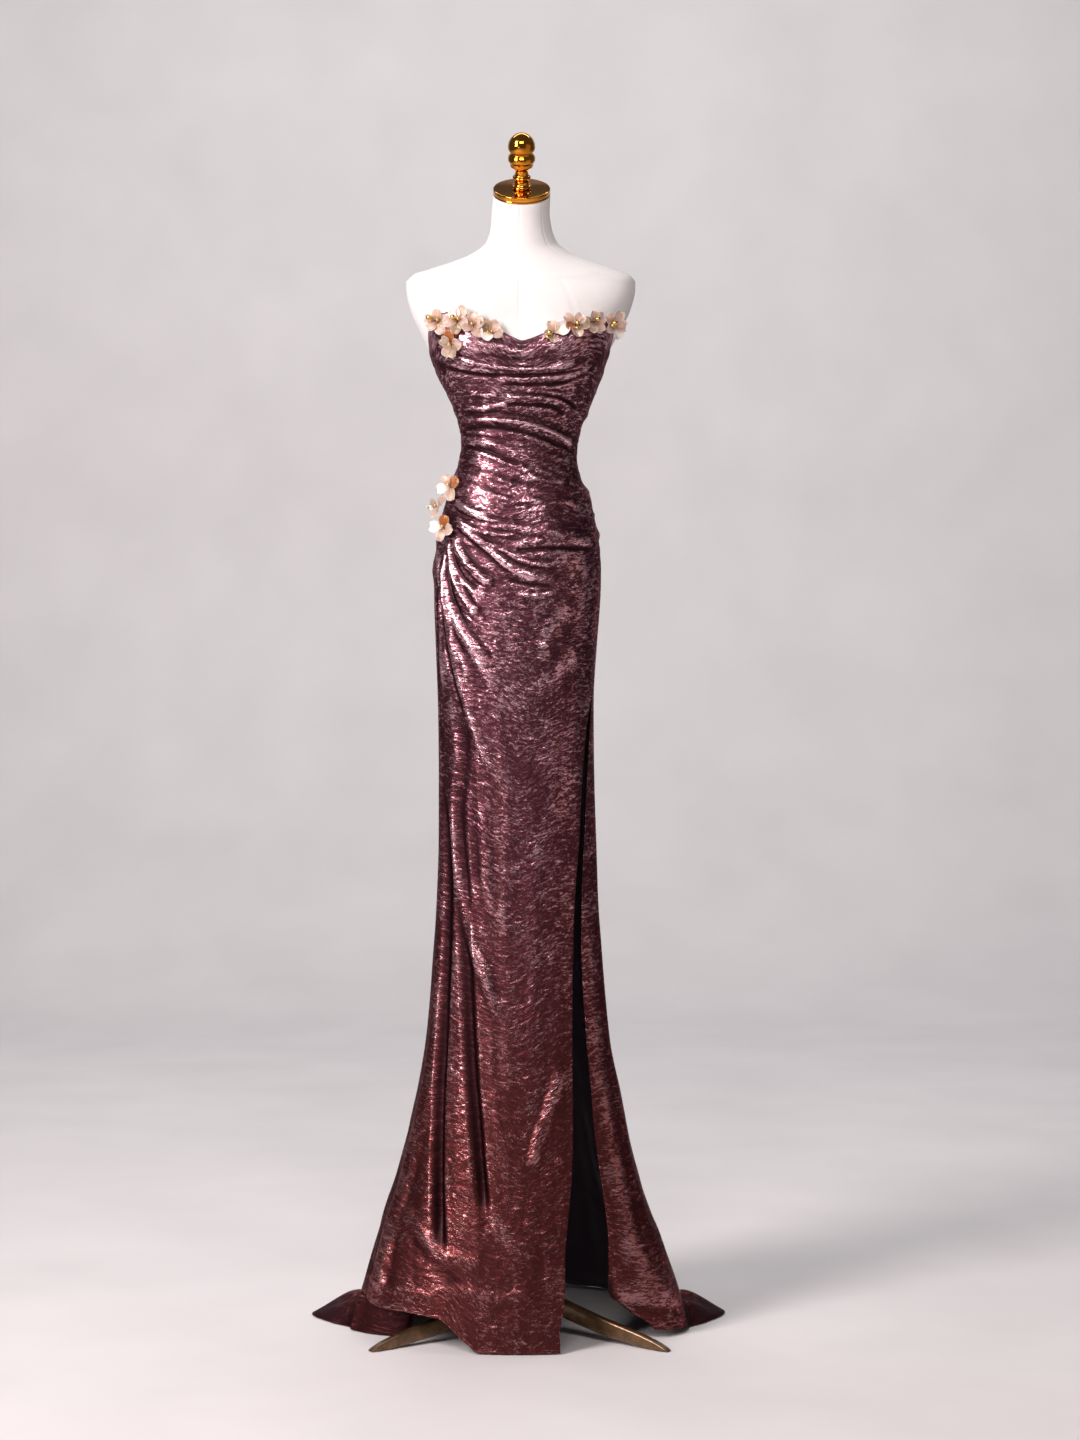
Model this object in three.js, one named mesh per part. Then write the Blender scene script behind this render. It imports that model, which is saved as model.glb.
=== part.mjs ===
// A strapless mermaid dress with a draped front, a side slit, a small train and petal flowers, on a
// limbless dress form with a gilt neck cap and a three-legged stand. Millimetres, +Z up, the front of the
// dress facing -Y and the pole of the stand along Z. Angles go round the body in degrees: 0 is the middle
// of the front, 90 the side at +X. A place called seen is x and z as they look from EYE in front, on an
// upright plane through the pole.
import * as THREE from "three";

// Driving sizes
const CLOTH = 2;
const SEAM_GAP = 0.3;
const SIDE_SEAM = 84;
const BACK_SEAM = 130;
const TOP_ROW = 1650;
const TOP_BLEND = 1500;
const HEM_BLEND = 300;
const TAIL_TOP = 36;
const FLOOR_LIFT = 0.8;
const EYE = { away: 5000, up: 1190 };
const SLIT_TOP = 1090;
const POLE_RADIUS = 12;
const FORM_FOOT = 1092;
const NECK_TILT = 28;
const NECK_RADIUS = 46;
const FOOT_REACH = 284;
const LEG_FORWARD = 33;

const DEG = Math.PI / 180;
const clamp = (v, low, high) => Math.min(high, Math.max(low, v));
const fade = (v, from, to) => THREE.MathUtils.smoothstep(v, from, to);

// Half widths and depths of the dress's outside, from the pole's axis. square is the section's
// superellipse power.
const SECTIONS = [
  { z: 1702, left: 186, right: 189, front: 66, back: 78, square: 2.7 },
  { z: 1690, left: 186, right: 189, front: 72, back: 82, square: 2.7 },
  { z: 1659, left: 180, right: 182, front: 86, back: 91, square: 2.6 },
  { z: 1630, left: 168, right: 169, front: 99, back: 94, square: 2.5 },
  { z: 1604, left: 155, right: 154, front: 107, back: 93, square: 2.4 },
  { z: 1588, left: 147, right: 146, front: 109, back: 91, square: 2.3 },
  { z: 1566, left: 139, right: 138, front: 107, back: 88, square: 2.2 },
  { z: 1547, left: 132, right: 132, front: 103, back: 85, square: 2.15 },
  { z: 1515, left: 115, right: 119, front: 94, back: 79, square: 2.1 },
  { z: 1490, left: 104, right: 109, front: 87, back: 74, square: 2.1 },
  { z: 1458, left: 96, right: 96, front: 80, back: 69, square: 2.1 },
  { z: 1434, left: 95, right: 92, front: 77, back: 67, square: 2.1 },
  { z: 1409, left: 99, right: 93, front: 78, back: 69, square: 2.1 },
  { z: 1385, left: 109, right: 99, front: 81, back: 76, square: 2.15 },
  { z: 1361, left: 117, right: 112, front: 85, back: 84, square: 2.2 },
  { z: 1336, left: 124, right: 117, front: 88, back: 92, square: 2.2 },
  { z: 1304, left: 132, right: 124, front: 92, back: 101, square: 2.2 },
  { z: 1272, left: 136, right: 129, front: 95, back: 109, square: 2.2 },
  { z: 1223, left: 139, right: 131, front: 98, back: 116, square: 2.2 },
  { z: 1174, left: 139, right: 129, front: 99, back: 118, square: 2.2 },
  { z: 1126, left: 137, right: 125, front: 99, back: 115, square: 2.15 },
  { z: 1029, left: 133, right: 120, front: 96, back: 104, square: 2.1 },
  { z: 899, left: 132, right: 121, front: 92, back: 97, square: 2.1 },
  { z: 802, left: 132, right: 124, front: 92, back: 96, square: 2.1 },
  { z: 705, left: 135, right: 127, front: 95, back: 100, square: 2.05 },
  { z: 607, left: 142, right: 134, front: 101, back: 112, square: 2 },
  { z: 475, left: 153, right: 147, front: 113, back: 138, square: 2 },
  { z: 392, left: 168, right: 163, front: 123, back: 161, square: 2 },
  { z: 309, left: 187, right: 180, front: 134, back: 189, square: 2 },
  { z: 253, left: 202, right: 195, front: 142, back: 209, square: 2 },
  { z: 204, left: 219, right: 209, front: 150, back: 228, square: 2 },
  { z: 157, left: 233, right: 228, front: 157, back: 247, square: 2 },
  { z: 110, left: 247, right: 245, front: 164, back: 265, square: 2 },
  { z: 71, left: 258, right: 258, front: 170, back: 280, square: 2 },
  { z: 34, left: 269, right: 268, front: 175, back: 292, square: 2 },
  { z: 0, left: 277, right: 275, front: 179, back: 302, square: 2 },
];

// The top edge: the sweetheart front as seen, and its height by angle under the arms and across the back.
const NECKLINE_SEEN = [
  { x: -144, z: 1628 }, { x: -129, z: 1651 }, { x: -106, z: 1654 }, { x: -81, z: 1649 }, { x: -63, z: 1641 },
  { x: -53, z: 1635 }, { x: -29, z: 1623 }, { x: -14, z: 1615 }, { x: 4, z: 1608 }, { x: 20, z: 1612 },
  { x: 35, z: 1618 }, { x: 60, z: 1626 }, { x: 84, z: 1634 }, { x: 105, z: 1643 }, { x: 121, z: 1646 },
  { x: 144, z: 1645 }, { x: 151, z: 1634 },
];
const NECKLINE_ROUND = [
  { angle: -180, z: 1594 }, { angle: -130, z: 1588 }, { angle: -90, z: 1583 }, { angle: -76, z: 1592 },
  { angle: 77, z: 1592 }, { angle: 90, z: 1583 }, { angle: 130, z: 1588 }, { angle: 180, z: 1594 },
];

// Height of the hem over the floor, and how far the cloth runs out along the floor beyond it.
const HEM = [
  { angle: -180, lift: 0, run: 42 }, { angle: -160, lift: 0, run: 36 }, { angle: -145, lift: 0, run: 36 },
  { angle: -126, lift: 0, run: 66 }, { angle: -108, lift: 0, run: 84 }, { angle: -97, lift: 0, run: 34 },
  { angle: -91, lift: 0, run: 1 }, { angle: -84, lift: 0, run: 0 }, { angle: 84, lift: 4, run: 0 },
  { angle: 91, lift: 0, run: 2 }, { angle: 98, lift: 0, run: 34 }, { angle: 111, lift: 0, run: 84 },
  { angle: 126, lift: 0, run: 62 }, { angle: 145, lift: 0, run: 34 }, { angle: 160, lift: 0, run: 38 },
  { angle: 180, lift: 0, run: 42 },
];
const FRONT_HEM_SEEN = [
  { x: -270, z: 84 }, { x: -258, z: 68 }, { x: -245, z: 47 }, { x: -222, z: 31 }, { x: -193, z: 26 },
  { x: -134, z: 14 }, { x: -112, z: -4 }, { x: -96, z: -20 }, { x: -83, z: -31 }, { x: -70, z: -42 },
];
const SIDE_HEM = [
  { angle: 56, lift: 22 }, { angle: 66, lift: 17 }, { angle: 72, lift: 13 }, { angle: 80, lift: 8 },
  { angle: 88, lift: 3 }, { angle: 95, lift: 0 }, { angle: 130, lift: 0 },
];

// The free edges of the slit as seen: the front's, and the side panel's with how far it is drawn in.
const SLIT_FRONT_SEEN = [
  { x: 110, z: 996 }, { x: 102, z: 899 }, { x: 97, z: 802 }, { x: 90, z: 705 }, { x: 87, z: 607 },
  { x: 87, z: 400 }, { x: 86, z: 260 }, { x: 82, z: 204 }, { x: 75, z: 122 }, { x: 74, z: 47 },
  { x: 66, z: -16 },
];
const SLIT_SIDE_SEEN = [
  { x: 115, z: 996, inset: 2 }, { x: 110, z: 899, inset: 5 }, { x: 105, z: 802, inset: 9 },
  { x: 100, z: 705, inset: 14 }, { x: 99, z: 607, inset: 16 }, { x: 107, z: 475, inset: 18 },
  { x: 120, z: 348, inset: 19 }, { x: 130, z: 267, inset: 20 }, { x: 143, z: 170, inset: 26 },
  { x: 146, z: 112, inset: 34 }, { x: 149, z: 50, inset: 38 }, { x: 175, z: 28, inset: 40 },
  { x: 201, z: 15, inset: 38 }, { x: 214, z: -5, inset: 34 },
];

// Where the left side panel laps under the raised corner of the front.
const UNDERLAP = { from: 190, full: 40, reach: 12, lead: 4, near: 5, far: 62, drawn: 280, flat: 60 };

// The bust, as two soft domes that the form and the dress share.
const BUST = [
  { angle: -38, z: 1596, across: 58, up: 62, rise: 9 },
  { angle: 38, z: 1596, across: 58, up: 62, rise: 9 },
];

// Folds of the draped front. path is x and z as seen. start and end are the rise at the two ends, below
// zero for a trough. above and below are the half widths on the two sides of the path.
const FRONT_FOLDS = [
  // The cowl drapes of the bodice
  {
    path: [[-140, 1588], [-108, 1571], [-60, 1562], [12, 1559], [60, 1563], [96, 1577]],
    start: 3, end: 4, above: 17, below: 9,
  },
  { path: [[-40, 1546], [10, 1544], [72, 1550], [112, 1566]], start: 3, end: 3, above: 12, below: 9 },
  { path: [[-30, 1513], [20, 1512], [66, 1508], [82, 1490]], start: 3.5, end: 2, above: 13, below: 9 },
  {
    path: [[-94, 1478], [-42, 1479], [-6, 1475], [32, 1466], [70, 1448], [86, 1434]],
    start: 4, end: 4.5, above: 15, below: 9,
  },
  {
    path: [[-94, 1448], [-52, 1442], [-24, 1430], [8, 1417], [42, 1404]],
    start: 4, end: 1.5, above: 13, below: 10,
  },
  { path: [[-84, 1416], [-50, 1406], [-6, 1392], [40, 1384]], start: 2, end: 1.5, above: 14, below: 11 },
  // The drapes that run from the hip cluster across the hips
  {
    path: [[-112, 1344], [-70, 1326], [-20, 1308], [58, 1298], [100, 1302]],
    start: 4, end: 1, above: 12, below: 10,
  },
  {
    path: [[-12, 1279], [28, 1283], [62, 1286], [92, 1284], [120, 1280]],
    start: 1, end: 6, above: 19, below: 9,
  },
  {
    path: [[-108, 1322], [-84, 1298], [-54, 1273], [-30, 1252], [-10, 1237], [18, 1229], [58, 1227]],
    start: 5, end: 3, above: 14, below: 11,
  },
  {
    path: [[-108, 1296], [-96, 1265], [-78, 1240], [-57, 1221], [-42, 1217]],
    start: 6, end: 4, above: 11, below: 9,
  },
  { path: [[84, 1174], [52, 1146], [40, 1118], [36, 1083]], start: 2, end: 2, above: 20, below: 18 },
  { path: [[96, 1104], [52, 1071], [20, 1040]], start: 3, end: 1.5, above: 20, below: 18 },
  // The fan that falls from the hip cluster down the skirt
  {
    path: [[-133, 1284], [-128, 1232], [-119, 1168], [-108, 1099], [-94, 1043], [-78, 990],
      [-56, 935], [-24, 880]],
    start: 6, end: 2, above: 12, below: 10,
  },
  {
    path: [[-122, 1216], [-108, 1158], [-78, 1112], [-54, 1068], [-36, 1042]],
    start: 5, end: 2, above: 17, below: 12,
  },
  { path: [[-115, 1134], [-99, 1098], [-84, 1053], [-72, 1008]], start: 4, end: 1, above: 9, below: 9 },
  {
    path: [[-128, 1140], [-121, 1040], [-119, 894], [-108, 808], [-98, 730], [-81, 633],
      [-57, 575], [-26, 492]],
    start: 4, end: 8, above: 17, below: 14,
  },
  {
    path: [[-104, 1060], [-92, 950], [-96, 840], [-90, 700], [-85, 580], [-78, 442], [-70, 342],
      [-62, 243], [-46, 140]],
    start: -3, end: -12, above: 15, below: 20,
  },
  {
    path: [[-120, 1120], [-121, 990], [-118, 800], [-121, 600], [-128, 450], [-134, 309],
      [-134, 196], [-124, 110]],
    start: -3, end: -17, above: 16, below: 16,
  },
  { path: [[-60, 870], [-55, 770], [-46, 700], [-14, 668]], start: 2, end: 3, above: 16, below: 16 },
  { path: [[70, 430], [50, 372], [32, 318], [18, 262]], start: 5, end: 4, above: 18, below: 16 },
  { path: [[-66, 210], [-20, 150], [30, 122]], start: 3, end: 2, above: 26, below: 22 },
];

// Folds of the sides and the back, by angle and height: soft waves that open towards the hem.
const ROUND_FOLDS = [
  { path: [[-70, 620], [-72, 400], [-74, 200], [-72, 60]], start: 2, end: 9, above: 26, below: 26 },
  { path: [[-101, 700], [-100, 400], [-99, 200], [-98, 50]], start: -3, end: -16, above: 24, below: 26 },
  { path: [[-118, 760], [-116, 420], [-113, 200], [-111, 40]], start: 3, end: 13, above: 30, below: 30 },
  { path: [[-134, 700], [-136, 420], [-137, 200], [-138, 40]], start: -3, end: -16, above: 28, below: 28 },
  { path: [[-156, 760], [-158, 420], [-160, 200], [-160, 40]], start: 3, end: 14, above: 34, below: 34 },
  { path: [[178, 680], [177, 420], [176, 200], [176, 40]], start: -2, end: -13, above: 28, below: 28 },
  { path: [[156, 760], [156, 420], [156, 200], [157, 40]], start: 3, end: 14, above: 34, below: 34 },
  { path: [[135, 700], [136, 420], [136, 200], [136, 40]], start: -3, end: -15, above: 28, below: 28 },
  { path: [[114, 760], [113, 420], [112, 200], [111, 40]], start: 3, end: 12, above: 30, below: 30 },
  { path: [[97, 640], [96, 400], [96, 200], [96, 50]], start: -3, end: -13, above: 22, below: 24 },
  { path: [[74, 760], [70, 480], [68, 250], [69, 70]], start: 2, end: 8, above: 22, below: 24 },
  { path: [[60, 420], [56, 260], [56, 120], [60, 40]], start: -1, end: -8, above: 18, below: 18 },
  { path: [[-92, 1300], [-106, 1262], [-124, 1246]], start: 3, end: 1, above: 14, below: 12 },
  { path: [[-92, 1270], [-104, 1216], [-118, 1170], [-126, 1110]], start: 4, end: 1, above: 14, below: 12 },
  { path: [[90, 1372], [112, 1352], [150, 1340]], start: 3, end: 1, above: 14, below: 10 },
  { path: [[88, 1300], [108, 1286], [146, 1278]], start: 4, end: 1, above: 14, below: 10 },
  { path: [[88, 1490], [110, 1478], [140, 1474]], start: 2, end: 1, above: 12, below: 9 },
  { path: [[-88, 1496], [-110, 1480], [-140, 1474]], start: 2, end: 1, above: 12, below: 9 },
];

// Flowers of cupped petals round a bead, placed as seen. turn spins each about its stem, and lift seats it
// just clear of the cloth's flat faces.
const FLOWERS = [
  { name: "flower_neck_left_1", x: -128, z: 1637, radius: 14, turn: 10, lift: 0.2 },
  { name: "flower_neck_left_2", x: -97, z: 1638, radius: 15.5, turn: 40, lift: 0.0 },
  { name: "flower_neck_left_3", x: -73, z: 1631, radius: 13, turn: 5, lift: 0.0 },
  { name: "flower_neck_left_4", x: -48, z: 1622, radius: 14.5, turn: 62, lift: 0.1 },
  { name: "flower_neck_left_5", x: -105, z: 1601, radius: 15, turn: 20, lift: 0.0 },
  { name: "flower_neck_right_1", x: 55, z: 1618, radius: 15, turn: 30, lift: -0.2 },
  { name: "flower_neck_right_2", x: 88, z: 1632, radius: 13.5, turn: 55, lift: 0.1 },
  { name: "flower_neck_right_3", x: 117, z: 1636, radius: 14, turn: 14, lift: -0.9 },
  { name: "flower_neck_right_4", x: 147, z: 1634, radius: 15.5, turn: 48, lift: 0.1 },
  { name: "flower_hip_1", x: -114, z: 1369, radius: 15, turn: 25, lift: 0.3 },
  { name: "flower_hip_2", x: -127, z: 1337, radius: 14, turn: 60, lift: 0.1 },
  { name: "flower_hip_3", x: -119, z: 1305, radius: 15.5, turn: 0, lift: 0.2 },
];
const PETALS = 5;

const metallic = (color) => new THREE.MeshStandardMaterial({ color, metalness: 0.75, roughness: 0.36 });
const cloth = metallic(0x6d3f45);
const gilt = new THREE.MeshStandardMaterial({ color: 0xd08a2e, metalness: 1, roughness: 0.12 });
const bronze = new THREE.MeshStandardMaterial({ color: 0x7d5f43, metalness: 0.6, roughness: 0.38 });
const linen = new THREE.MeshStandardMaterial({ color: 0xf2f0ee, metalness: 0, roughness: 0.85 });
const petal = new THREE.MeshStandardMaterial({ color: 0xd9a57e, metalness: 0.1, roughness: 0.25 });

// The value of one column of a table where its key column is at, by a monotone cubic through the rows.
function reader(table, key, column) {
  const rows = [...table].sort((a, b) => a[key] - b[key]);
  const x = rows.map((row) => row[key]);
  const y = rows.map((row) => row[column]);
  const slope = x.slice(1).map((v, i) => (y[i + 1] - y[i]) / (v - x[i]));
  const tangent = y.map((_, i) => {
    if (i === 0 || i === y.length - 1) return 0;
    return slope[i - 1] * slope[i] <= 0 ? 0 : (2 * slope[i - 1] * slope[i]) / (slope[i - 1] + slope[i]);
  });
  return (at) => {
    const v = clamp(at, x[0], x[x.length - 1]);
    let i = 0;
    while (i < x.length - 2 && v > x[i + 1]) i += 1;
    const span = x[i + 1] - x[i];
    const t = (v - x[i]) / span;
    const t2 = t * t;
    const t3 = t2 * t;
    return (2 * t3 - 3 * t2 + 1) * y[i] + (t3 - 2 * t2 + t) * span * tangent[i]
      + (3 * t2 - 2 * t3) * y[i + 1] + (t3 - t2) * span * tangent[i + 1];
  };
}

const section = Object.fromEntries(
  ["left", "right", "front", "back", "square"].map((side) => [side, reader(SECTIONS, "z", side)]),
);
const girth = (z) => (section.left(z) + section.right(z) + section.front(z) + section.back(z)) / 4;

// A point of the section at a height, on the ray at an angle, with the section shrunk by inset on every side.
// rounder lowers the superellipse's power, which draws its corners in.
function ringPoint(angle, z, inset, rounder = 0) {
  const sine = Math.sin(angle * DEG);
  const cosine = Math.cos(angle * DEG);
  const power = section.square(z) - rounder;
  const across = (sine < 0 ? section.left(z) : section.right(z)) - inset;
  const deep = (cosine > 0 ? section.front(z) : section.back(z)) - inset;
  const a = Math.abs(sine) / across;
  const b = Math.abs(cosine) / deep;
  const reach = (a ** power + b ** power) ** (-1 / power);
  const outward = new THREE.Vector2(
    (Math.sign(sine) * a ** (power - 1)) / across,
    (-Math.sign(cosine) * b ** (power - 1)) / deep,
  ).normalize();
  return { x: reach * sine, y: -reach * cosine, outward };
}

// The angle and true height of a place on the front that is given as seen.
function onFront(place, inset = 0) {
  let { x, z } = place;
  let angle = 0;
  for (let pass = 0; pass < 4; pass += 1) {
    const power = section.square(z);
    const half = (x < 0 ? section.left(z) : section.right(z)) - inset;
    const share = clamp(Math.abs(x) / half, 0, 0.999);
    const deep = (section.front(z) - inset) * (1 - share ** power) ** (1 / power);
    angle = Math.atan2(Math.sign(x) * share * half, deep) / DEG;
    const nearer = 1 - deep / EYE.away;
    x = place.x * nearer;
    z = EYE.up + (place.z - EYE.up) * nearer;
  }
  return { angle, z };
}
const neckline = reader([...NECKLINE_ROUND, ...NECKLINE_SEEN.map((row) => onFront(row))], "angle", "z");
const hemLift = reader(HEM, "angle", "lift");
const hemRun = reader(HEM, "angle", "run");
const level = { angle: 0, z: 0 };
const frontHem = reader([...FRONT_HEM_SEEN.map((row) => onFront(row)), level], "angle", "z");
const sideHem = reader(SIDE_HEM, "angle", "lift");
const seam = { angle: SIDE_SEAM, z: SLIT_TOP, inset: 0 };
const slitSideRows = [...SLIT_SIDE_SEEN.map((row) => ({ ...onFront(row, row.inset), inset: row.inset })), seam];
const slitFront = reader([...SLIT_FRONT_SEEN.map((row) => onFront(row)), seam], "z", "angle");
const slitSide = reader(slitSideRows, "z", "angle");
const slitInset = reader(slitSideRows, "z", "inset");

function bustRise(angle, z) {
  return BUST.reduce((sum, dome) => {
    const across = ((angle - dome.angle) * DEG * girth(z)) / dome.across;
    const up = (z - dome.z) / dome.up;
    return sum + dome.rise * Math.exp(-(across * across + up * up));
  }, 0);
}

// A fold's path as angle and height, close enough together for a smooth distance.
function foldCurve(fold, fromFront) {
  const points = fold.path.map(([across, z]) => {
    const place = fromFront ? onFront({ x: across, z }) : { angle: across, z };
    return new THREE.Vector3(place.angle, place.z, 0);
  });
  return { ...fold, points: new THREE.CatmullRomCurve3(points, false, "catmullrom").getPoints(20) };
}
const folds = [
  ...FRONT_FOLDS.map((fold) => foldCurve(fold, true)),
  ...ROUND_FOLDS.map((fold) => foldCurve(fold, false)),
];

// How far the folds lift the cloth at an angle and height.
function foldRise(angle, z) {
  const scale = DEG * girth(z);
  let rise = 0;
  for (const fold of folds) {
    const last = fold.points.length - 1;
    let best = { distance: Infinity, side: 0, along: 0 };
    for (let i = 0; i < last; i += 1) {
      const a = fold.points[i];
      const b = fold.points[i + 1];
      const turn = Math.round((angle - a.x) / 360) * 360;
      const px = (angle - turn - a.x) * scale;
      const py = z - a.y;
      const bx = (b.x - a.x) * scale;
      const by = b.y - a.y;
      const t = clamp((px * bx + py * by) / (bx * bx + by * by), 0, 1);
      const distance = Math.hypot(px - t * bx, py - t * by);
      if (distance < best.distance) best = { distance, side: bx * py - by * px, along: (i + t) / last };
    }
    const width = best.side > 0 ? fold.above : fold.below;
    if (best.distance >= width) continue;
    const bump = (1 - (best.distance / width) ** 2) ** 2;
    const ends = fade(best.along, 0, 0.12) * (1 - fade(best.along, 0.86, 1));
    rise += (fold.start + (fold.end - fold.start) * best.along) * bump * ends;
  }
  return rise;
}

// How far a row is raised by a hem that stands off the floor.
const hemShift = (row, lift) => lift * clamp((HEM_BLEND - row) / (HEM_BLEND - TAIL_TOP), 0, 1) ** 1.2;

// The dress's outside at an angle and a row. Rows run from the top edge down to the floor and then out
// along it: from TOP_ROW to TAIL_TOP a row is a height, and below that it is the share of the tail that is
// left.
function dressPoint(angle, row, panel) {
  const lift = panel.lift(angle);
  const run = panel.run(angle);
  const inTail = row < TAIL_TOP;
  const body = Math.max(row, TAIL_TOP);
  const topShift = (neckline(angle) - TOP_ROW) * clamp((body - TOP_BLEND) / (TOP_ROW - TOP_BLEND), 0, 1);
  const z = body + topShift + hemShift(body, lift);
  const inset = panel.inset(angle, z);
  const at = ringPoint(angle, z, inset);
  const rise = bustRise(angle, z) + foldRise(angle, z);
  const point = new THREE.Vector3(at.x + at.outward.x * rise, at.y + at.outward.y * rise, z);
  if (!inTail) return point;
  const share = 1 - row / TAIL_TOP;
  const foot = ringPoint(angle, lift, inset);
  const footRise = foldRise(angle, TAIL_TOP + lift);
  const bend = footRise + run * 0.12;
  const reach = footRise + run;
  const end = lift + CLOTH + FLOOR_LIFT;
  const low = new THREE.Vector3(foot.x + foot.outward.x * bend, foot.y + foot.outward.y * bend, end);
  const far = new THREE.Vector3(foot.x + foot.outward.x * reach, foot.y + foot.outward.y * reach, end);
  return new THREE.QuadraticBezierCurve3(point, low, far).getPoint(share);
}

// The rows of the front, closer together where it has more shape. The other panels skip every second row
// above the hips.
const ROWS = [
  ...[...Array(20)].map((_, i) => TOP_ROW - i * 20.5),
  ...[...Array(6)].map((_, i) => 1240 - i * 34),
  ...[...Array(9)].map((_, i) => 1036 - i * 66),
  ...[...Array(10)].map((_, i) => 442 - i * 40.6),
  TAIL_TOP, 27, 18, 9, 0,
];
const FRONT_ROWS = ROWS.filter((row) => row !== 27 && row !== 9);
const PLAIN_ROWS = ROWS.filter((row, i) => row < 1240 || i % 2 === 0);

// A closed wall over a grid of columns and rows: outer points, and the same points moved in by the wall's
// thickness.
function clothWall(name, columns, place, options = {}) {
  const { rows = PLAIN_ROWS, thickness = CLOTH, offset = 0, material = cloth } = options;
  const outer = [];
  const inner = [];
  const step = 0.002;
  for (const row of rows) {
    for (let i = 0; i <= columns; i += 1) {
      const u = i / columns;
      const near = clamp(u, step, 1 - step);
      const across = place(near + step, row).sub(place(near - step, row));
      const lower = row < 1 ? 0 : row - 1;
      const down = place(u, lower).sub(place(u, lower + 1));
      const normal = across.cross(down).normalize().negate();
      const point = place(u, row);
      outer.push(point.clone().addScaledVector(normal, offset));
      inner.push(point.clone().addScaledVector(normal, offset - thickness));
    }
  }
  const wide = columns + 1;
  const count = outer.length;
  const index = [];
  const quad = (a, b, c, d) => index.push(a, b, c, a, c, d);
  for (let r = 0; r < rows.length - 1; r += 1) {
    for (let i = 0; i < columns; i += 1) {
      const a = r * wide + i;
      quad(a, a + wide, a + wide + 1, a + 1);
      quad(count + a, count + a + 1, count + a + wide + 1, count + a + wide);
    }
    const left = r * wide;
    const right = left + columns;
    quad(left, count + left, count + left + wide, left + wide);
    quad(right, right + wide, count + right + wide, count + right);
  }
  const foot = (rows.length - 1) * wide;
  for (let i = 0; i < columns; i += 1) {
    quad(i, i + 1, count + i + 1, count + i);
    quad(foot + i, count + foot + i, count + foot + i + 1, foot + i + 1);
  }
  const geometry = new THREE.BufferGeometry().setFromPoints([...outer, ...inner]);
  geometry.setIndex(index);
  geometry.computeVertexNormals();
  const mesh = new THREE.Mesh(geometry, material);
  mesh.name = name;
  return mesh;
}

// Half the seam gap, as an angle at a height.
const halfGap = (row) => SEAM_GAP / 2 / girth(clamp(row, 0, TOP_ROW)) / DEG;
const noInset = () => 0;

function frontPanel() {
  const panel = { lift: frontHem, run: noInset, inset: noInset };
  const place = (u, row) => {
    const from = -SIDE_SEAM + halfGap(row);
    const to = slitFront(row) - halfGap(row);
    return dressPoint(from + (to - from) * u, row, panel);
  };
  return clothWall("dress_front", 20, place, { rows: FRONT_ROWS });
}

// The left side panel, drawn in and reaching forward under the front's raised corner near the floor.
function leftPanel() {
  const lap = UNDERLAP;
  const inset = (angle, z) => {
    const reach = clamp((angle + SIDE_SEAM + lap.lead) / (lap.reach + lap.lead), 0, 1);
    const depth = reach > 0 ? lap.near * fade(reach, 0, 0.16) + lap.far * reach ** 1.3 : 0;
    return depth * (1 - fade(z, lap.flat, lap.drawn));
  };
  const panel = { lift: hemLift, run: hemRun, inset };
  const place = (u, row) => {
    const lead = lap.reach * (1 - fade(row, lap.full, lap.from));
    const from = -BACK_SEAM + halfGap(row);
    const to = -SIDE_SEAM - halfGap(row) + lead;
    return dressPoint(from + (to - from) * u, row, panel);
  };
  return clothWall("dress_left_side", 7, place);
}

// The right side panel, whose front edge is the far side of the slit.
function rightPanel() {
  const inset = (angle, z) => slitInset(z) * (1 - fade(angle, slitSide(z), slitSide(z) + 22));
  const panel = { lift: sideHem, run: hemRun, inset };
  const cornerLift = sideHem(slitSide(0));
  const place = (u, row) => {
    const from = slitSide(row + hemShift(row, cornerLift)) + halfGap(row);
    const to = BACK_SEAM - halfGap(row);
    return dressPoint(from + (to - from) * u, row, panel);
  };
  return clothWall("dress_right_side", 8, place);
}

function backPanel(name, from, to) {
  const panel = { lift: hemLift, run: hemRun, inset: noInset };
  const place = (u, row) => dressPoint(from + halfGap(row) + (to - from - 2 * halfGap(row)) * u, row, panel);
  return clothWall(name, 6, place);
}

// The closed zip of the centre back: a narrow tape on the seam, moved out from the panels' own points.
function backZip() {
  const top = 1644;
  const foot = 1205;
  const width = 7;
  const thickness = 1.2;
  const panel = { lift: hemLift, run: hemRun, inset: noInset };
  const rows = PLAIN_ROWS.filter((row) => row > foot && row < top);
  const place = (u, row) => dressPoint(180 + ((u - 0.5) * width) / girth(row) / DEG, row, panel);
  return clothWall("back_zip", 2, place, { rows, thickness, offset: thickness + SEAM_GAP });
}

// A solid through closed rings of points, with its two ends closed by fans.
function loft(name, rings, material) {
  const count = rings[0].length;
  const points = rings.flat();
  const index = [];
  for (let r = 0; r < rings.length - 1; r += 1) {
    for (let i = 0; i < count; i += 1) {
      const a = r * count + i;
      const b = r * count + ((i + 1) % count);
      index.push(a, b, b + count, a, b + count, a + count);
    }
  }
  const centre = (ring) => ring.reduce((sum, p) => sum.add(p), new THREE.Vector3()).divideScalar(count);
  const low = points.push(centre(rings[0])) - 1;
  const high = points.push(centre(rings[rings.length - 1])) - 1;
  const last = (rings.length - 1) * count;
  for (let i = 0; i < count; i += 1) {
    const next = (i + 1) % count;
    index.push(low, next, i, high, last + i, last + next);
  }
  const geometry = new THREE.BufferGeometry().setFromPoints(points);
  geometry.setIndex(index);
  geometry.computeVertexNormals();
  const mesh = new THREE.Mesh(geometry, material);
  mesh.name = name;
  return mesh;
}

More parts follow.
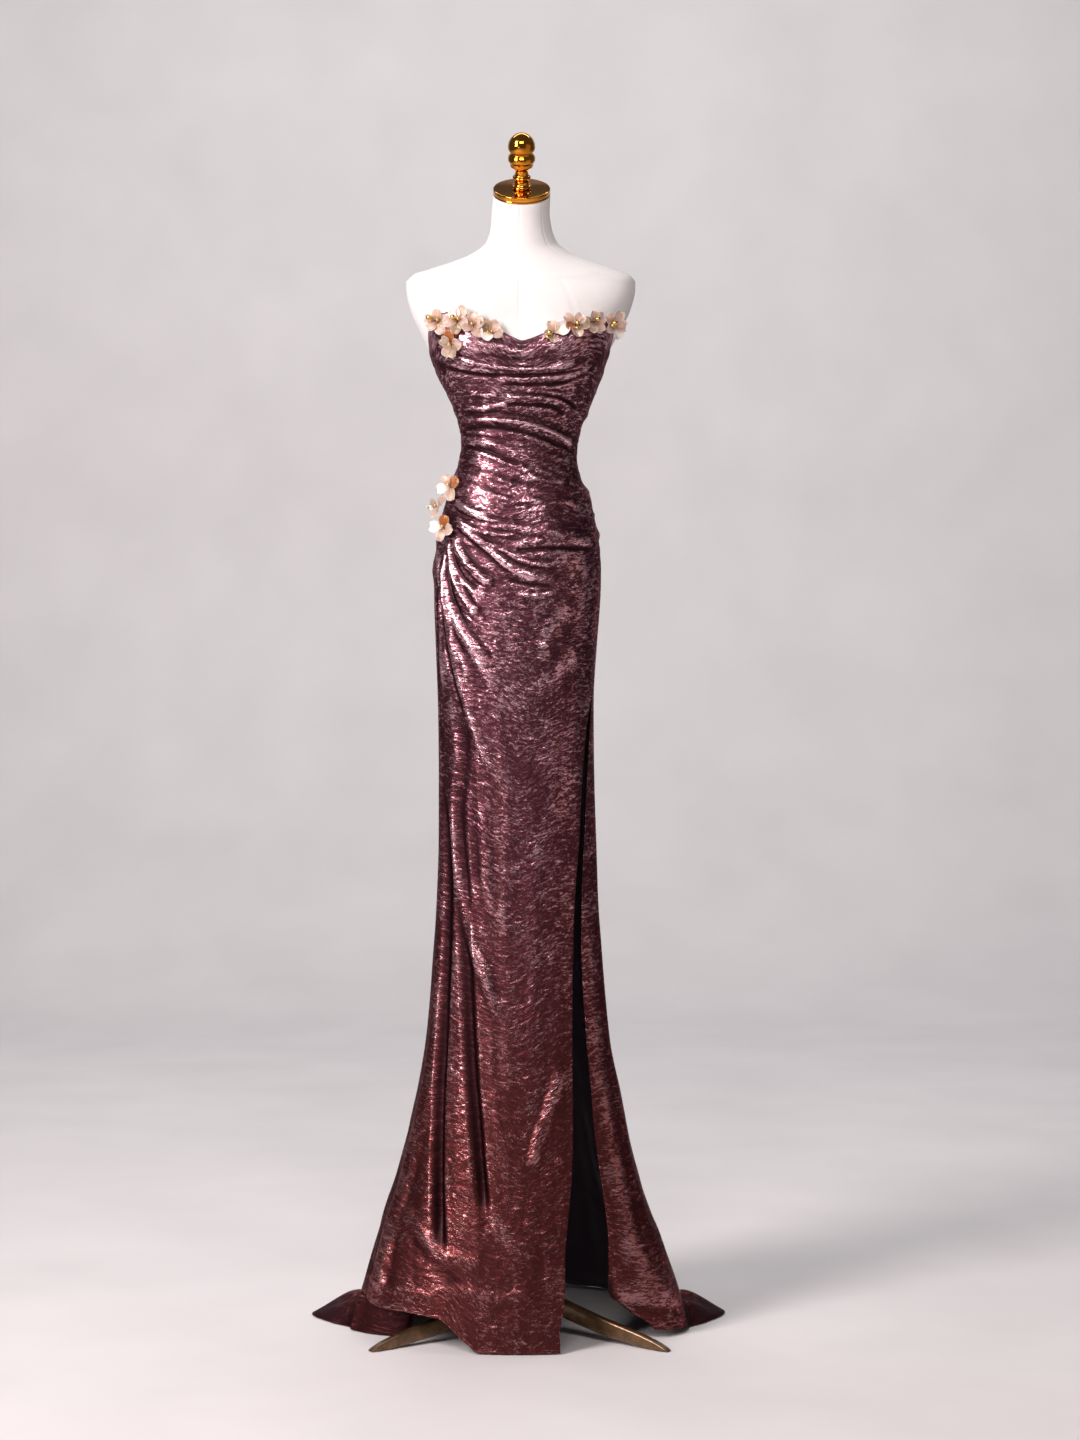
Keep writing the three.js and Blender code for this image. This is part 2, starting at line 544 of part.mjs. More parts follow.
// How far the form lies inside the dress's outside: close at the waist and the top edge, which carry the
// dress.
const FORM_GAP = [
  { z: 1084, gap: 8 }, { z: 1180, gap: 6.5 }, { z: 1385, gap: 6.5 }, { z: 1434, gap: 5 },
  { z: 1480, gap: 6 }, { z: 1560, gap: 6 }, { z: 1592, gap: 3 }, { z: 1702, gap: 3 },
];
// The shoulders and the neck, whose rings tip forward towards the cap.
const NECK = [
  { z: 1711, y: 0, left: 174, right: 179, front: 61, back: 75, tilt: 0 },
  { z: 1721, y: 0, left: 148, right: 153, front: 56, back: 71, tilt: 0 },
  { z: 1732, y: 1, left: 114, right: 121, front: 51, back: 66, tilt: 2 },
  { z: 1747, y: 2, left: 78, right: 85, front: 47, back: 60, tilt: 6 },
  { z: 1766, y: 4, left: 54, right: 60, front: 46, back: 53, tilt: 12 },
  { z: 1790, y: 4, left: 47, right: 51, front: 46, back: 48, tilt: 18 },
  { z: 1815, y: 2, left: 45, right: 48, front: 46, back: 47, tilt: 23 },
  { z: 1841, y: -3, left: 43, right: 49, front: 46, back: 46, tilt: NECK_TILT },
];
const FORM_SIDES = 28;
const FORM_ROUNDER = 0.12;

function formTorso() {
  const gap = reader(FORM_GAP, "z", "gap");
  const angles = [...Array(FORM_SIDES)].map((_, i) => -180 + (360 * i) / FORM_SIDES);
  const bodyRing = (z, shrink) => angles.map((angle) => {
    const at = ringPoint(angle, z, gap(z), FORM_ROUNDER);
    const rise = bustRise(angle, z);
    const point = new THREE.Vector2(at.x + at.outward.x * rise, at.y + at.outward.y * rise);
    return new THREE.Vector3(point.x * shrink, point.y * shrink, z);
  });
  const neckRing = (row) => angles.map((angle) => {
    const sine = Math.sin(angle * DEG);
    const cosine = Math.cos(angle * DEG);
    const across = (sine < 0 ? row.left : row.right) * sine;
    const deep = (cosine > 0 ? row.front : row.back) * cosine;
    const tilt = row.tilt * DEG;
    return new THREE.Vector3(across, row.y - deep * Math.cos(tilt), row.z - deep * Math.sin(tilt));
  });
  const heights = [
    1120, 1200, 1280, 1340, 1385, 1414, 1445, 1480, 1515, 1550, 1582, 1610, 1640, 1670, 1690, 1702,
  ];
  return loft("form_torso", [
    bodyRing(FORM_FOOT, 0.86),
    bodyRing(FORM_FOOT + 6, 0.95),
    ...heights.map((z) => bodyRing(z, 1)),
    ...NECK.map(neckRing),
  ], linen);
}

// A turned solid from a table of radius and height, closed on its axis.
function turned(name, profile, sides, material) {
  const mesh = new THREE.Mesh(
    new THREE.LatheGeometry(profile.map(([radius, height]) => new THREE.Vector2(radius, height)), sides),
    material,
  );
  mesh.geometry.rotateX(Math.PI / 2);
  mesh.name = name;
  return mesh;
}

// The gilt cap and the finial, square to the tipped top of the neck.
function neckCap() {
  const top = NECK[NECK.length - 1];
  const group = new THREE.Group();
  group.position.set((top.right - top.left) / 2, top.y, top.z);
  group.rotation.x = NECK_TILT * DEG;
  const thick = 11;
  const cap = turned("neck_cap", [
    [0, 0], [NECK_RADIUS - 0.6, 0], [NECK_RADIUS, 0.8],
    [NECK_RADIUS, thick - 1.2], [NECK_RADIUS - 1.2, thick], [0, thick],
  ], 40, gilt);
  cap.position.z = SEAM_GAP;
  const finial = turned("neck_finial", [
    [0, 0], [15, 0], [15.5, 4], [12, 8], [11.5, 13], [14.5, 18], [11, 23], [10.5, 29], [18, 37], [21.8, 48],
    [21.4, 53], [17.6, 60], [21.4, 66], [21.4, 73], [16.8, 84], [10, 90], [0, 92],
  ], 20, gilt);
  finial.position.z = thick + 2 * SEAM_GAP;
  group.add(cap, finial);
  return group;
}

// One flower: lobed petals that rise from a flat base round a bead, as one closed surface.
function flower({ name, x, z, radius, turn, lift }) {
  const panel = { lift: noInset, run: noInset, inset: noInset };
  const spot = onFront({ x, z });
  const top = neckline(spot.angle);
  const row = spot.z > TOP_BLEND
    ? TOP_BLEND + ((spot.z - TOP_BLEND) * (TOP_ROW - TOP_BLEND)) / (top - TOP_BLEND)
    : spot.z;
  const point = dressPoint(spot.angle, row, panel);
  const across = dressPoint(spot.angle + 4, row, panel).sub(dressPoint(spot.angle - 4, row, panel));
  const down = dressPoint(spot.angle, row - 10, panel).sub(dressPoint(spot.angle, row + 4, panel));
  const normal = across.cross(down).normalize().negate();
  const ring = [
    { reach: 0.2, height: 0 }, { reach: 1, height: 5.6, edge: true },
  { reach: 0.98, height: 6.8, edge: true },
    { reach: 0.24, height: 2.4 }, { reach: 0.27, height: 5 }, { reach: 0.16, height: 7.6 },
  ];
  const sides = PETALS * 3;
  const rings = ring.map(({ reach, height, edge }) => [...Array(sides)].map((_, i) => {
    const notch = edge && i % 3 === 0;
    const wide = radius * reach * (notch ? 0.7 : 1);
    const around = ((i * 360) / sides + turn) * DEG;
    return new THREE.Vector3(wide * Math.cos(around), wide * Math.sin(around), height);
  }));
  const mesh = loft(name, rings, petal);
  mesh.position.copy(point).addScaledVector(normal, lift);
  mesh.quaternion.setFromUnitVectors(new THREE.Vector3(0, 0, 1), normal);
  return mesh;
}

// The stand: a pole, a turned hub and three arched blade legs with flat feet.
const HUB = { low: 44, high: 96, radius: 24 };
const BLADE = { width: 15, bevel: 2, heel: 245, toe: 3 };
function stand() {
  const group = new THREE.Group();
  const pole = turned("stand_pole", [
    [0, HUB.high + SEAM_GAP], [POLE_RADIUS, HUB.high + SEAM_GAP],
    [POLE_RADIUS, FORM_FOOT - SEAM_GAP], [0, FORM_FOOT - SEAM_GAP],
  ], 16, bronze);
  const hub = turned("stand_hub", [
    [0, HUB.low], [16, HUB.low], [HUB.radius, HUB.low + 8],
    [HUB.radius, HUB.high - 8], [18, HUB.high], [0, HUB.high],
  ], 24, bronze);
  group.add(pole, hub);
  const { width, bevel, heel, toe } = BLADE;
  const root = HUB.radius + 0.5 + bevel;
  const points = (list) => list.map(([reach, height]) => new THREE.Vector2(reach, height));
  const outline = new THREE.Shape();
  outline.moveTo(root, 50);
  outline.splineThru(points([[60, 40], [105, 27], [165, 13], [220, 6], [242, 4.5]]));
  outline.lineTo(heel, bevel);
  outline.lineTo(FOOT_REACH - bevel, bevel);
  outline.lineTo(FOOT_REACH - bevel, bevel + toe);
  outline.splineThru(points([[276, 9], [257, 15], [220, 25], [165, 38], [105, 54], [60, 68], [root, 82]]));
  outline.closePath();
  const legs = [["leg_left", 180 + LEG_FORWARD], ["leg_right", -LEG_FORWARD], ["leg_back", 90]];
  for (const [name, heading] of legs) {
    const geometry = new THREE.ExtrudeGeometry(outline, {
      depth: width - 2 * bevel,
      bevelThickness: bevel,
      bevelSize: bevel,
      bevelSegments: 1,
      curveSegments: 3,
    });
    geometry.translate(0, 0, -(width - 2 * bevel) / 2);
    geometry.rotateX(Math.PI / 2);
    const leg = new THREE.Mesh(geometry, bronze);
    leg.rotation.z = heading * DEG;
    leg.name = name;
    group.add(leg);
  }
  return group;
}

const dress = new THREE.Group();
dress.add(
  frontPanel(), leftPanel(), rightPanel(),
  backPanel("dress_back_left", -180, -BACK_SEAM), backPanel("dress_back_right", BACK_SEAM, 180),
  backZip(), ...FLOWERS.map(flower), formTorso(), neckCap(), stand(),
);

// The part's origin is the middle of its box, on the floor.
const box = new THREE.Box3().setFromObject(dress, true);
const middle = box.getCenter(new THREE.Vector3());
dress.position.set(-middle.x, -middle.y, -box.min.z);

export default dress;
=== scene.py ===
"""Look of a draped, strapless mermaid dress with petal flowers on a limbless dress form.

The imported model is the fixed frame. Every new surface is a grid of two parameters worked out with numpy in
millimetres about the stand's pole, then moved to the frame in metres. Angles go round the body in degrees, 0 at the
middle of the front and 90 at the side with the slit. A place called seen is x and z as they look from the eye in
front, on an upright plane through the pole.
"""
import logging
import math
from collections.abc import Callable, Sequence
from dataclasses import dataclass, field
from enum import Enum

import bpy
import numpy as np
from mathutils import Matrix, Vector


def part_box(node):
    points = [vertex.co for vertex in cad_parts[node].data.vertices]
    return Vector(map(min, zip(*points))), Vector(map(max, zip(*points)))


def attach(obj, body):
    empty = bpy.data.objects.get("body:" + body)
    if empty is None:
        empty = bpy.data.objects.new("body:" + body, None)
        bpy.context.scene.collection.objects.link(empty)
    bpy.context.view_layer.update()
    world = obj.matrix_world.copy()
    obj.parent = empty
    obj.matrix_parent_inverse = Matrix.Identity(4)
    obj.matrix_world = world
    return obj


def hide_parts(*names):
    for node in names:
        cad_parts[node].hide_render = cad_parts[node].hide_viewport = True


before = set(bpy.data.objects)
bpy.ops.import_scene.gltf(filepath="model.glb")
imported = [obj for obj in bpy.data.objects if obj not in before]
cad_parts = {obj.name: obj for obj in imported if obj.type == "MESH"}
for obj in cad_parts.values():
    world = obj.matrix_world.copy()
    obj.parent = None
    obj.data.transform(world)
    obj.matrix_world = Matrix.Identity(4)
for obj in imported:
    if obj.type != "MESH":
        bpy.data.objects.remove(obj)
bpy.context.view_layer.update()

LOG = logging.getLogger("dress")
Array = np.ndarray
MM = 0.001

# Sizes that the solids share, in millimetres
SEAM_GAP = 0.3
SIDE_SEAM = 84.0
BACK_SEAM = 130.0
TOP_ROW = 1650.0
TOP_BLEND = 1500.0
HEM_BLEND = 300.0
TAIL_TOP = 36.0
FLOOR_STAND = 2.8
EYE_AWAY = 5000.0
EYE_UP = 1190.0
SLIT_TOP = 1090.0
FORM_FOOT = 1092.0
FORM_TOP = 1702.0
FORM_ROUNDER = 0.12
NECK_TILT = 28.0
NECK_RADIUS = 46.0
FOOT_REACH = 284.0
LEG_FORWARD = 33.0
HUB_RADIUS = 24.0

# Sections of the dress's outside: z, half widths left and right, depths front and back, superellipse power
SECTIONS = (
    (1702, 186, 189, 66, 78, 2.7), (1690, 186, 189, 72, 82, 2.7), (1659, 180, 182, 86, 91, 2.6),
    (1630, 168, 169, 99, 94, 2.5), (1604, 155, 154, 107, 93, 2.4), (1588, 147, 146, 109, 91, 2.3),
    (1566, 139, 138, 107, 88, 2.2), (1547, 132, 132, 103, 85, 2.15), (1515, 115, 119, 94, 79, 2.1),
    (1490, 104, 109, 87, 74, 2.1), (1458, 96, 96, 80, 69, 2.1), (1434, 95, 92, 77, 67, 2.1),
    (1409, 99, 93, 78, 69, 2.1), (1385, 109, 99, 81, 76, 2.15), (1361, 117, 112, 85, 84, 2.2),
    (1336, 124, 117, 88, 92, 2.2), (1304, 132, 124, 92, 101, 2.2), (1272, 136, 129, 95, 109, 2.2),
    (1223, 139, 131, 98, 116, 2.2), (1174, 139, 129, 99, 118, 2.2), (1126, 137, 125, 99, 115, 2.15),
    (1029, 133, 120, 96, 104, 2.1), (899, 132, 121, 92, 97, 2.1), (802, 132, 124, 92, 96, 2.1),
    (705, 135, 127, 95, 100, 2.05), (607, 142, 134, 101, 112, 2), (475, 153, 147, 113, 138, 2),
    (392, 168, 163, 123, 161, 2), (309, 187, 180, 134, 189, 2), (253, 202, 195, 142, 209, 2),
    (204, 219, 209, 150, 228, 2), (157, 233, 228, 157, 247, 2), (110, 247, 245, 164, 265, 2),
    (71, 258, 258, 170, 280, 2), (34, 269, 268, 175, 292, 2), (0, 277, 275, 179, 302, 2),
)

# The top edge as seen (x, z), then by angle (angle, z)
NECKLINE_SEEN = (
    (-144, 1628), (-129, 1651), (-106, 1654), (-81, 1649), (-63, 1641), (-53, 1635), (-29, 1623), (-14, 1615),
    (4, 1608), (20, 1612), (35, 1618), (60, 1626), (84, 1634), (105, 1643), (121, 1646), (144, 1645), (151, 1634),
)
NECKLINE_ROUND = (
    (-180, 1594), (-130, 1588), (-90, 1583), (-76, 1592), (77, 1592), (90, 1583), (130, 1588), (180, 1594),
)

# The hem by angle: height over the floor, and how far the cloth runs out along the floor
HEM = (
    (-180, 0, 42), (-160, 0, 36), (-145, 0, 36), (-126, 0, 66), (-108, 0, 84), (-97, 0, 34), (-91, 0, 1),
    (-84, 0, 0), (84, 4, 0), (91, 0, 2), (98, 0, 34), (111, 0, 84), (126, 0, 62), (145, 0, 34), (160, 0, 38),
    (180, 0, 42),
)
FRONT_HEM_SEEN = (
    (-270, 84), (-258, 68), (-245, 47), (-222, 31), (-193, 26), (-134, 14), (-112, -4), (-96, -20), (-83, -31),
    (-70, -42),
)
SIDE_HEM = ((56, 22), (66, 17), (72, 13), (80, 8), (88, 3), (95, 0), (130, 0))

# The free edges of the slit as seen: the front's (x, z), and the side panel's (x, z, how far it is drawn in)
SLIT_FRONT_SEEN = (
    (110, 996), (102, 899), (97, 802), (90, 705), (87, 607), (87, 400), (86, 260), (82, 204), (75, 122), (74, 47),
    (66, -16),
)
SLIT_SIDE_SEEN = (
    (115, 996, 2), (110, 899, 5), (105, 802, 9), (100, 705, 14), (99, 607, 16), (107, 475, 18), (120, 348, 19),
    (130, 267, 20), (143, 170, 26), (146, 112, 34), (149, 50, 38), (175, 28, 40), (201, 15, 38), (214, -5, 34),
)

# The left side's lap under the front: the rows between which it starts and is full, its reach and lead-in in
# degrees, the depths of its near and far end, and the heights between which it is drawn in
UNDERLAP = {"from": 190, "full": 40, "reach": 12, "lead": 4, "near": 5, "far": 62, "drawn": 280, "flat": 60}

# The bust's two soft domes: angle, z, half width across, half height, rise
BUST = ((-38, 1596, 58, 62, 9), (38, 1596, 58, 62, 9))

# Gap between the dress's outside and the form by height, and the rings of shoulders and neck:
# z, y, half widths left and right, depths front and back, tilt
FORM_GAP = ((1084, 8), (1180, 6.5), (1385, 6.5), (1434, 5), (1480, 6), (1560, 6), (1592, 3), (1702, 3))
NECK = (
    (1711, 0, 174, 179, 61, 75, 0), (1721, 0, 148, 153, 56, 71, 0), (1732, 1, 114, 121, 51, 66, 2),
    (1747, 2, 78, 85, 47, 60, 6), (1766, 4, 54, 60, 46, 53, 12), (1790, 4, 47, 51, 46, 48, 18),
    (1815, 2, 45, 48, 46, 47, 23), (1841, -3, 43, 49, 46, 46, NECK_TILT),
)

# The form's foot, rounded in: height over its lowest point, and share of the full section
FORM_FOOT_ROUND = ((0, 0.86), (2, 0.915), (6, 0.95), (14, 0.985))

# The form's seams: angle and depth
FORM_SEAMS = ((0, 0.9), (90, 0.9), (-90, 0.9), (-180, 0.9), (47, 0.63), (-47, 0.63))

# The cap's groove (depth, z), and the finial's outline (radius, z) from its foot
CAP_GROOVE = ((0, 2.6), (0.7, 3.0), (0.7, 3.5), (0, 3.9))
FINIAL = (
    (0, 0), (13, 0), (15, 0.6), (15.5, 2.5), (15.2, 4.5), (12.6, 6.6), (11.5, 9), (11.4, 13), (12.6, 16),
    (14.4, 17.5), (14.6, 19), (13.4, 20.6), (11.2, 22.6), (10.5, 26), (10.6, 29.5), (12.4, 32.4), (16.6, 35.4),
    (18.4, 37.6), (18.6, 40), (19.4, 43), (21.4, 46), (21.9, 49), (21.4, 52.6), (19.4, 56), (17.7, 58), (17.4, 59.4),
    (18.4, 61), (20.4, 63), (21.7, 66.4), (21.8, 70), (20.8, 75.5), (18.2, 81.4), (14, 86.4), (8.5, 90), (3.5, 91.6),
    (0, 92),
)

# A leg's upper and lower edge from the hub to the foot: reach from the pole's middle, z
LEG_TOP = (
    (HUB_RADIUS + 0.5, 82), (60, 68), (105, 54), (165, 38), (220, 25), (257, 14.5), (274, 7.5), (FOOT_REACH - 1, 2),
)
LEG_LOW = (
    (HUB_RADIUS + 0.5, 48), (60, 38), (105, 25), (165, 11), (220, 3.6), (250, 0.6), (266, 0), (FOOT_REACH - 3, 0),
)

# The studio's lights in metres and watts: name, place, target, width and height, power, colour
LIGHTS = (
    ("key_left", (-2.5, -2.5, 2.75), (0, 0, 1.2), (1.1, 2.3), 180, "fff2f0"),
    ("front_high", (0.0, -3.5, 3.3), (0, 0, 1.35), (1.9, 0.9), 68, "fff6f4"),
    ("warm_right", (2.6, -1.6, 1.0), (0, 0, 0.8), (2.4, 2.6), 7, "ffc9b4"),
    ("low_front", (-1.6, -3.6, 0.9), (0, 0, 0.4), (0.8, 0.6), 4, "ffe0d0"),
    ("backdrop", (0, 1.2, 4.4), (0, 4.0, 0.8), (4.0, 1.0), 95, "ffffff"),
)

# The hip's gather as seen, and the steps of a fold's path from each of its points to the next
GATHER_SEEN = (-118, 1300)
FOLD_STEPS = 12


@dataclass(frozen=True)
class Fold:
    """One soft fold of the cloth.

    path is a list of (x, z) as seen, or (angle, z) where round_body is set. start and end are the rise at the two
    ends in millimetres, below zero for a trough. above and below are the half widths on the two sides of the path.
    """

    path: tuple[tuple[float, float], ...]
    start: float
    end: float
    above: float
    below: float
    round_body: bool = False


def fold(start: float, end: float, above: float, below: float, *path: tuple[float, float]) -> Fold:
    """A fold of the front, whose path is given as seen."""
    return Fold(path, start, end, above, below)


def wave(start: float, end: float, above: float, below: float, *path: tuple[float, float]) -> Fold:
    """A fold of the sides or the back, whose path is given by angle and height."""
    return Fold(path, start, end, above, below, True)


# The folds that the solids have too
MAIN_FOLDS = (
    fold(3, 4, 17, 9, (-140, 1588), (-108, 1571), (-60, 1562), (12, 1559), (60, 1563), (96, 1577)),
    fold(3, 3, 12, 9, (-40, 1546), (10, 1544), (72, 1550), (112, 1566)),
    fold(3.5, 2, 13, 9, (-30, 1513), (20, 1512), (66, 1508), (82, 1490)),
    fold(4, 4.5, 15, 9, (-94, 1478), (-42, 1479), (-6, 1475), (32, 1466), (70, 1448), (86, 1434)),
    fold(4, 1.5, 13, 10, (-94, 1448), (-52, 1442), (-24, 1430), (8, 1417), (42, 1404)),
    fold(2, 1.5, 14, 11, (-84, 1416), (-50, 1406), (-6, 1392), (40, 1384)),
    fold(4, 1, 12, 10, (-112, 1344), (-70, 1326), (-20, 1308), (58, 1298), (100, 1302)),
    fold(1, 6, 19, 9, (-12, 1279), (28, 1283), (62, 1286), (92, 1284), (120, 1280)),
    fold(5, 3, 14, 11, (-108, 1322), (-84, 1298), (-54, 1273), (-30, 1252), (-10, 1237), (18, 1229), (58, 1227)),
    fold(6, 4, 11, 9, (-108, 1296), (-96, 1265), (-78, 1240), (-57, 1221), (-42, 1217)),
    fold(2, 2, 20, 18, (84, 1174), (52, 1146), (40, 1118), (36, 1083)),
    fold(3, 1.5, 20, 18, (96, 1104), (52, 1071), (20, 1040)),
    fold(6, 2, 12, 10, (-133, 1284), (-128, 1232), (-119, 1168), (-108, 1099), (-94, 1043), (-78, 990), (-56, 935),
         (-24, 880)),
    fold(5, 2, 17, 12, (-122, 1216), (-108, 1158), (-78, 1112), (-54, 1068), (-36, 1042)),
    fold(4, 1, 9, 9, (-115, 1134), (-99, 1098), (-84, 1053), (-72, 1008)),
    fold(4, 8, 17, 14, (-128, 1140), (-121, 1040), (-119, 894), (-108, 808), (-98, 730), (-81, 633), (-57, 575),
         (-26, 492)),
    fold(-3, -12, 15, 20, (-104, 1060), (-92, 950), (-96, 840), (-90, 700), (-85, 580), (-78, 442), (-70, 342),
         (-62, 243), (-46, 140)),
    fold(-3, -17, 16, 16, (-120, 1120), (-121, 990), (-118, 800), (-121, 600), (-128, 450), (-134, 309),
         (-134, 196), (-124, 110)),
    fold(2, 3, 16, 16, (-60, 870), (-55, 770), (-46, 700), (-14, 668)),
    fold(5, 4, 18, 16, (70, 430), (50, 372), (32, 318), (18, 262)),
    fold(3, 2, 26, 22, (-66, 210), (-20, 150), (30, 122)),
    wave(2, 9, 26, 26, (-70, 620), (-72, 400), (-74, 200), (-72, 60)),
    wave(-3, -16, 24, 26, (-101, 700), (-100, 400), (-99, 200), (-98, 50)),
    wave(3, 13, 30, 30, (-118, 760), (-116, 420), (-113, 200), (-111, 40)),
    wave(-3, -16, 28, 28, (-134, 700), (-136, 420), (-137, 200), (-138, 40)),
    wave(3, 14, 34, 34, (-156, 760), (-158, 420), (-160, 200), (-160, 40)),
    wave(-2, -13, 28, 28, (178, 680), (177, 420), (176, 200), (176, 40)),
    wave(3, 14, 34, 34, (156, 760), (156, 420), (156, 200), (157, 40)),
    wave(-3, -15, 28, 28, (135, 700), (136, 420), (136, 200), (136, 40)),
    wave(3, 12, 30, 30, (114, 760), (113, 420), (112, 200), (111, 40)),
    wave(-3, -13, 22, 24, (97, 640), (96, 400), (96, 200), (96, 50)),
    wave(2, 8, 22, 24, (74, 760), (70, 480), (68, 250), (69, 70)),
    wave(-1, -8, 18, 18, (60, 420), (56, 260), (56, 120), (60, 40)),
    wave(3, 1, 14, 12, (-92, 1300), (-106, 1262), (-124, 1246)),
    wave(4, 1, 14, 12, (-92, 1270), (-104, 1216), (-118, 1170), (-126, 1110)),
    wave(3, 1, 14, 10, (90, 1372), (112, 1352), (150, 1340)),
    wave(4, 1, 14, 10, (88, 1300), (108, 1286), (146, 1278)),
    wave(2, 1, 12, 9, (88, 1490), (110, 1478), (140, 1474)),
    wave(2, 1, 12, 9, (-88, 1496), (-110, 1480), (-140, 1474)),
)


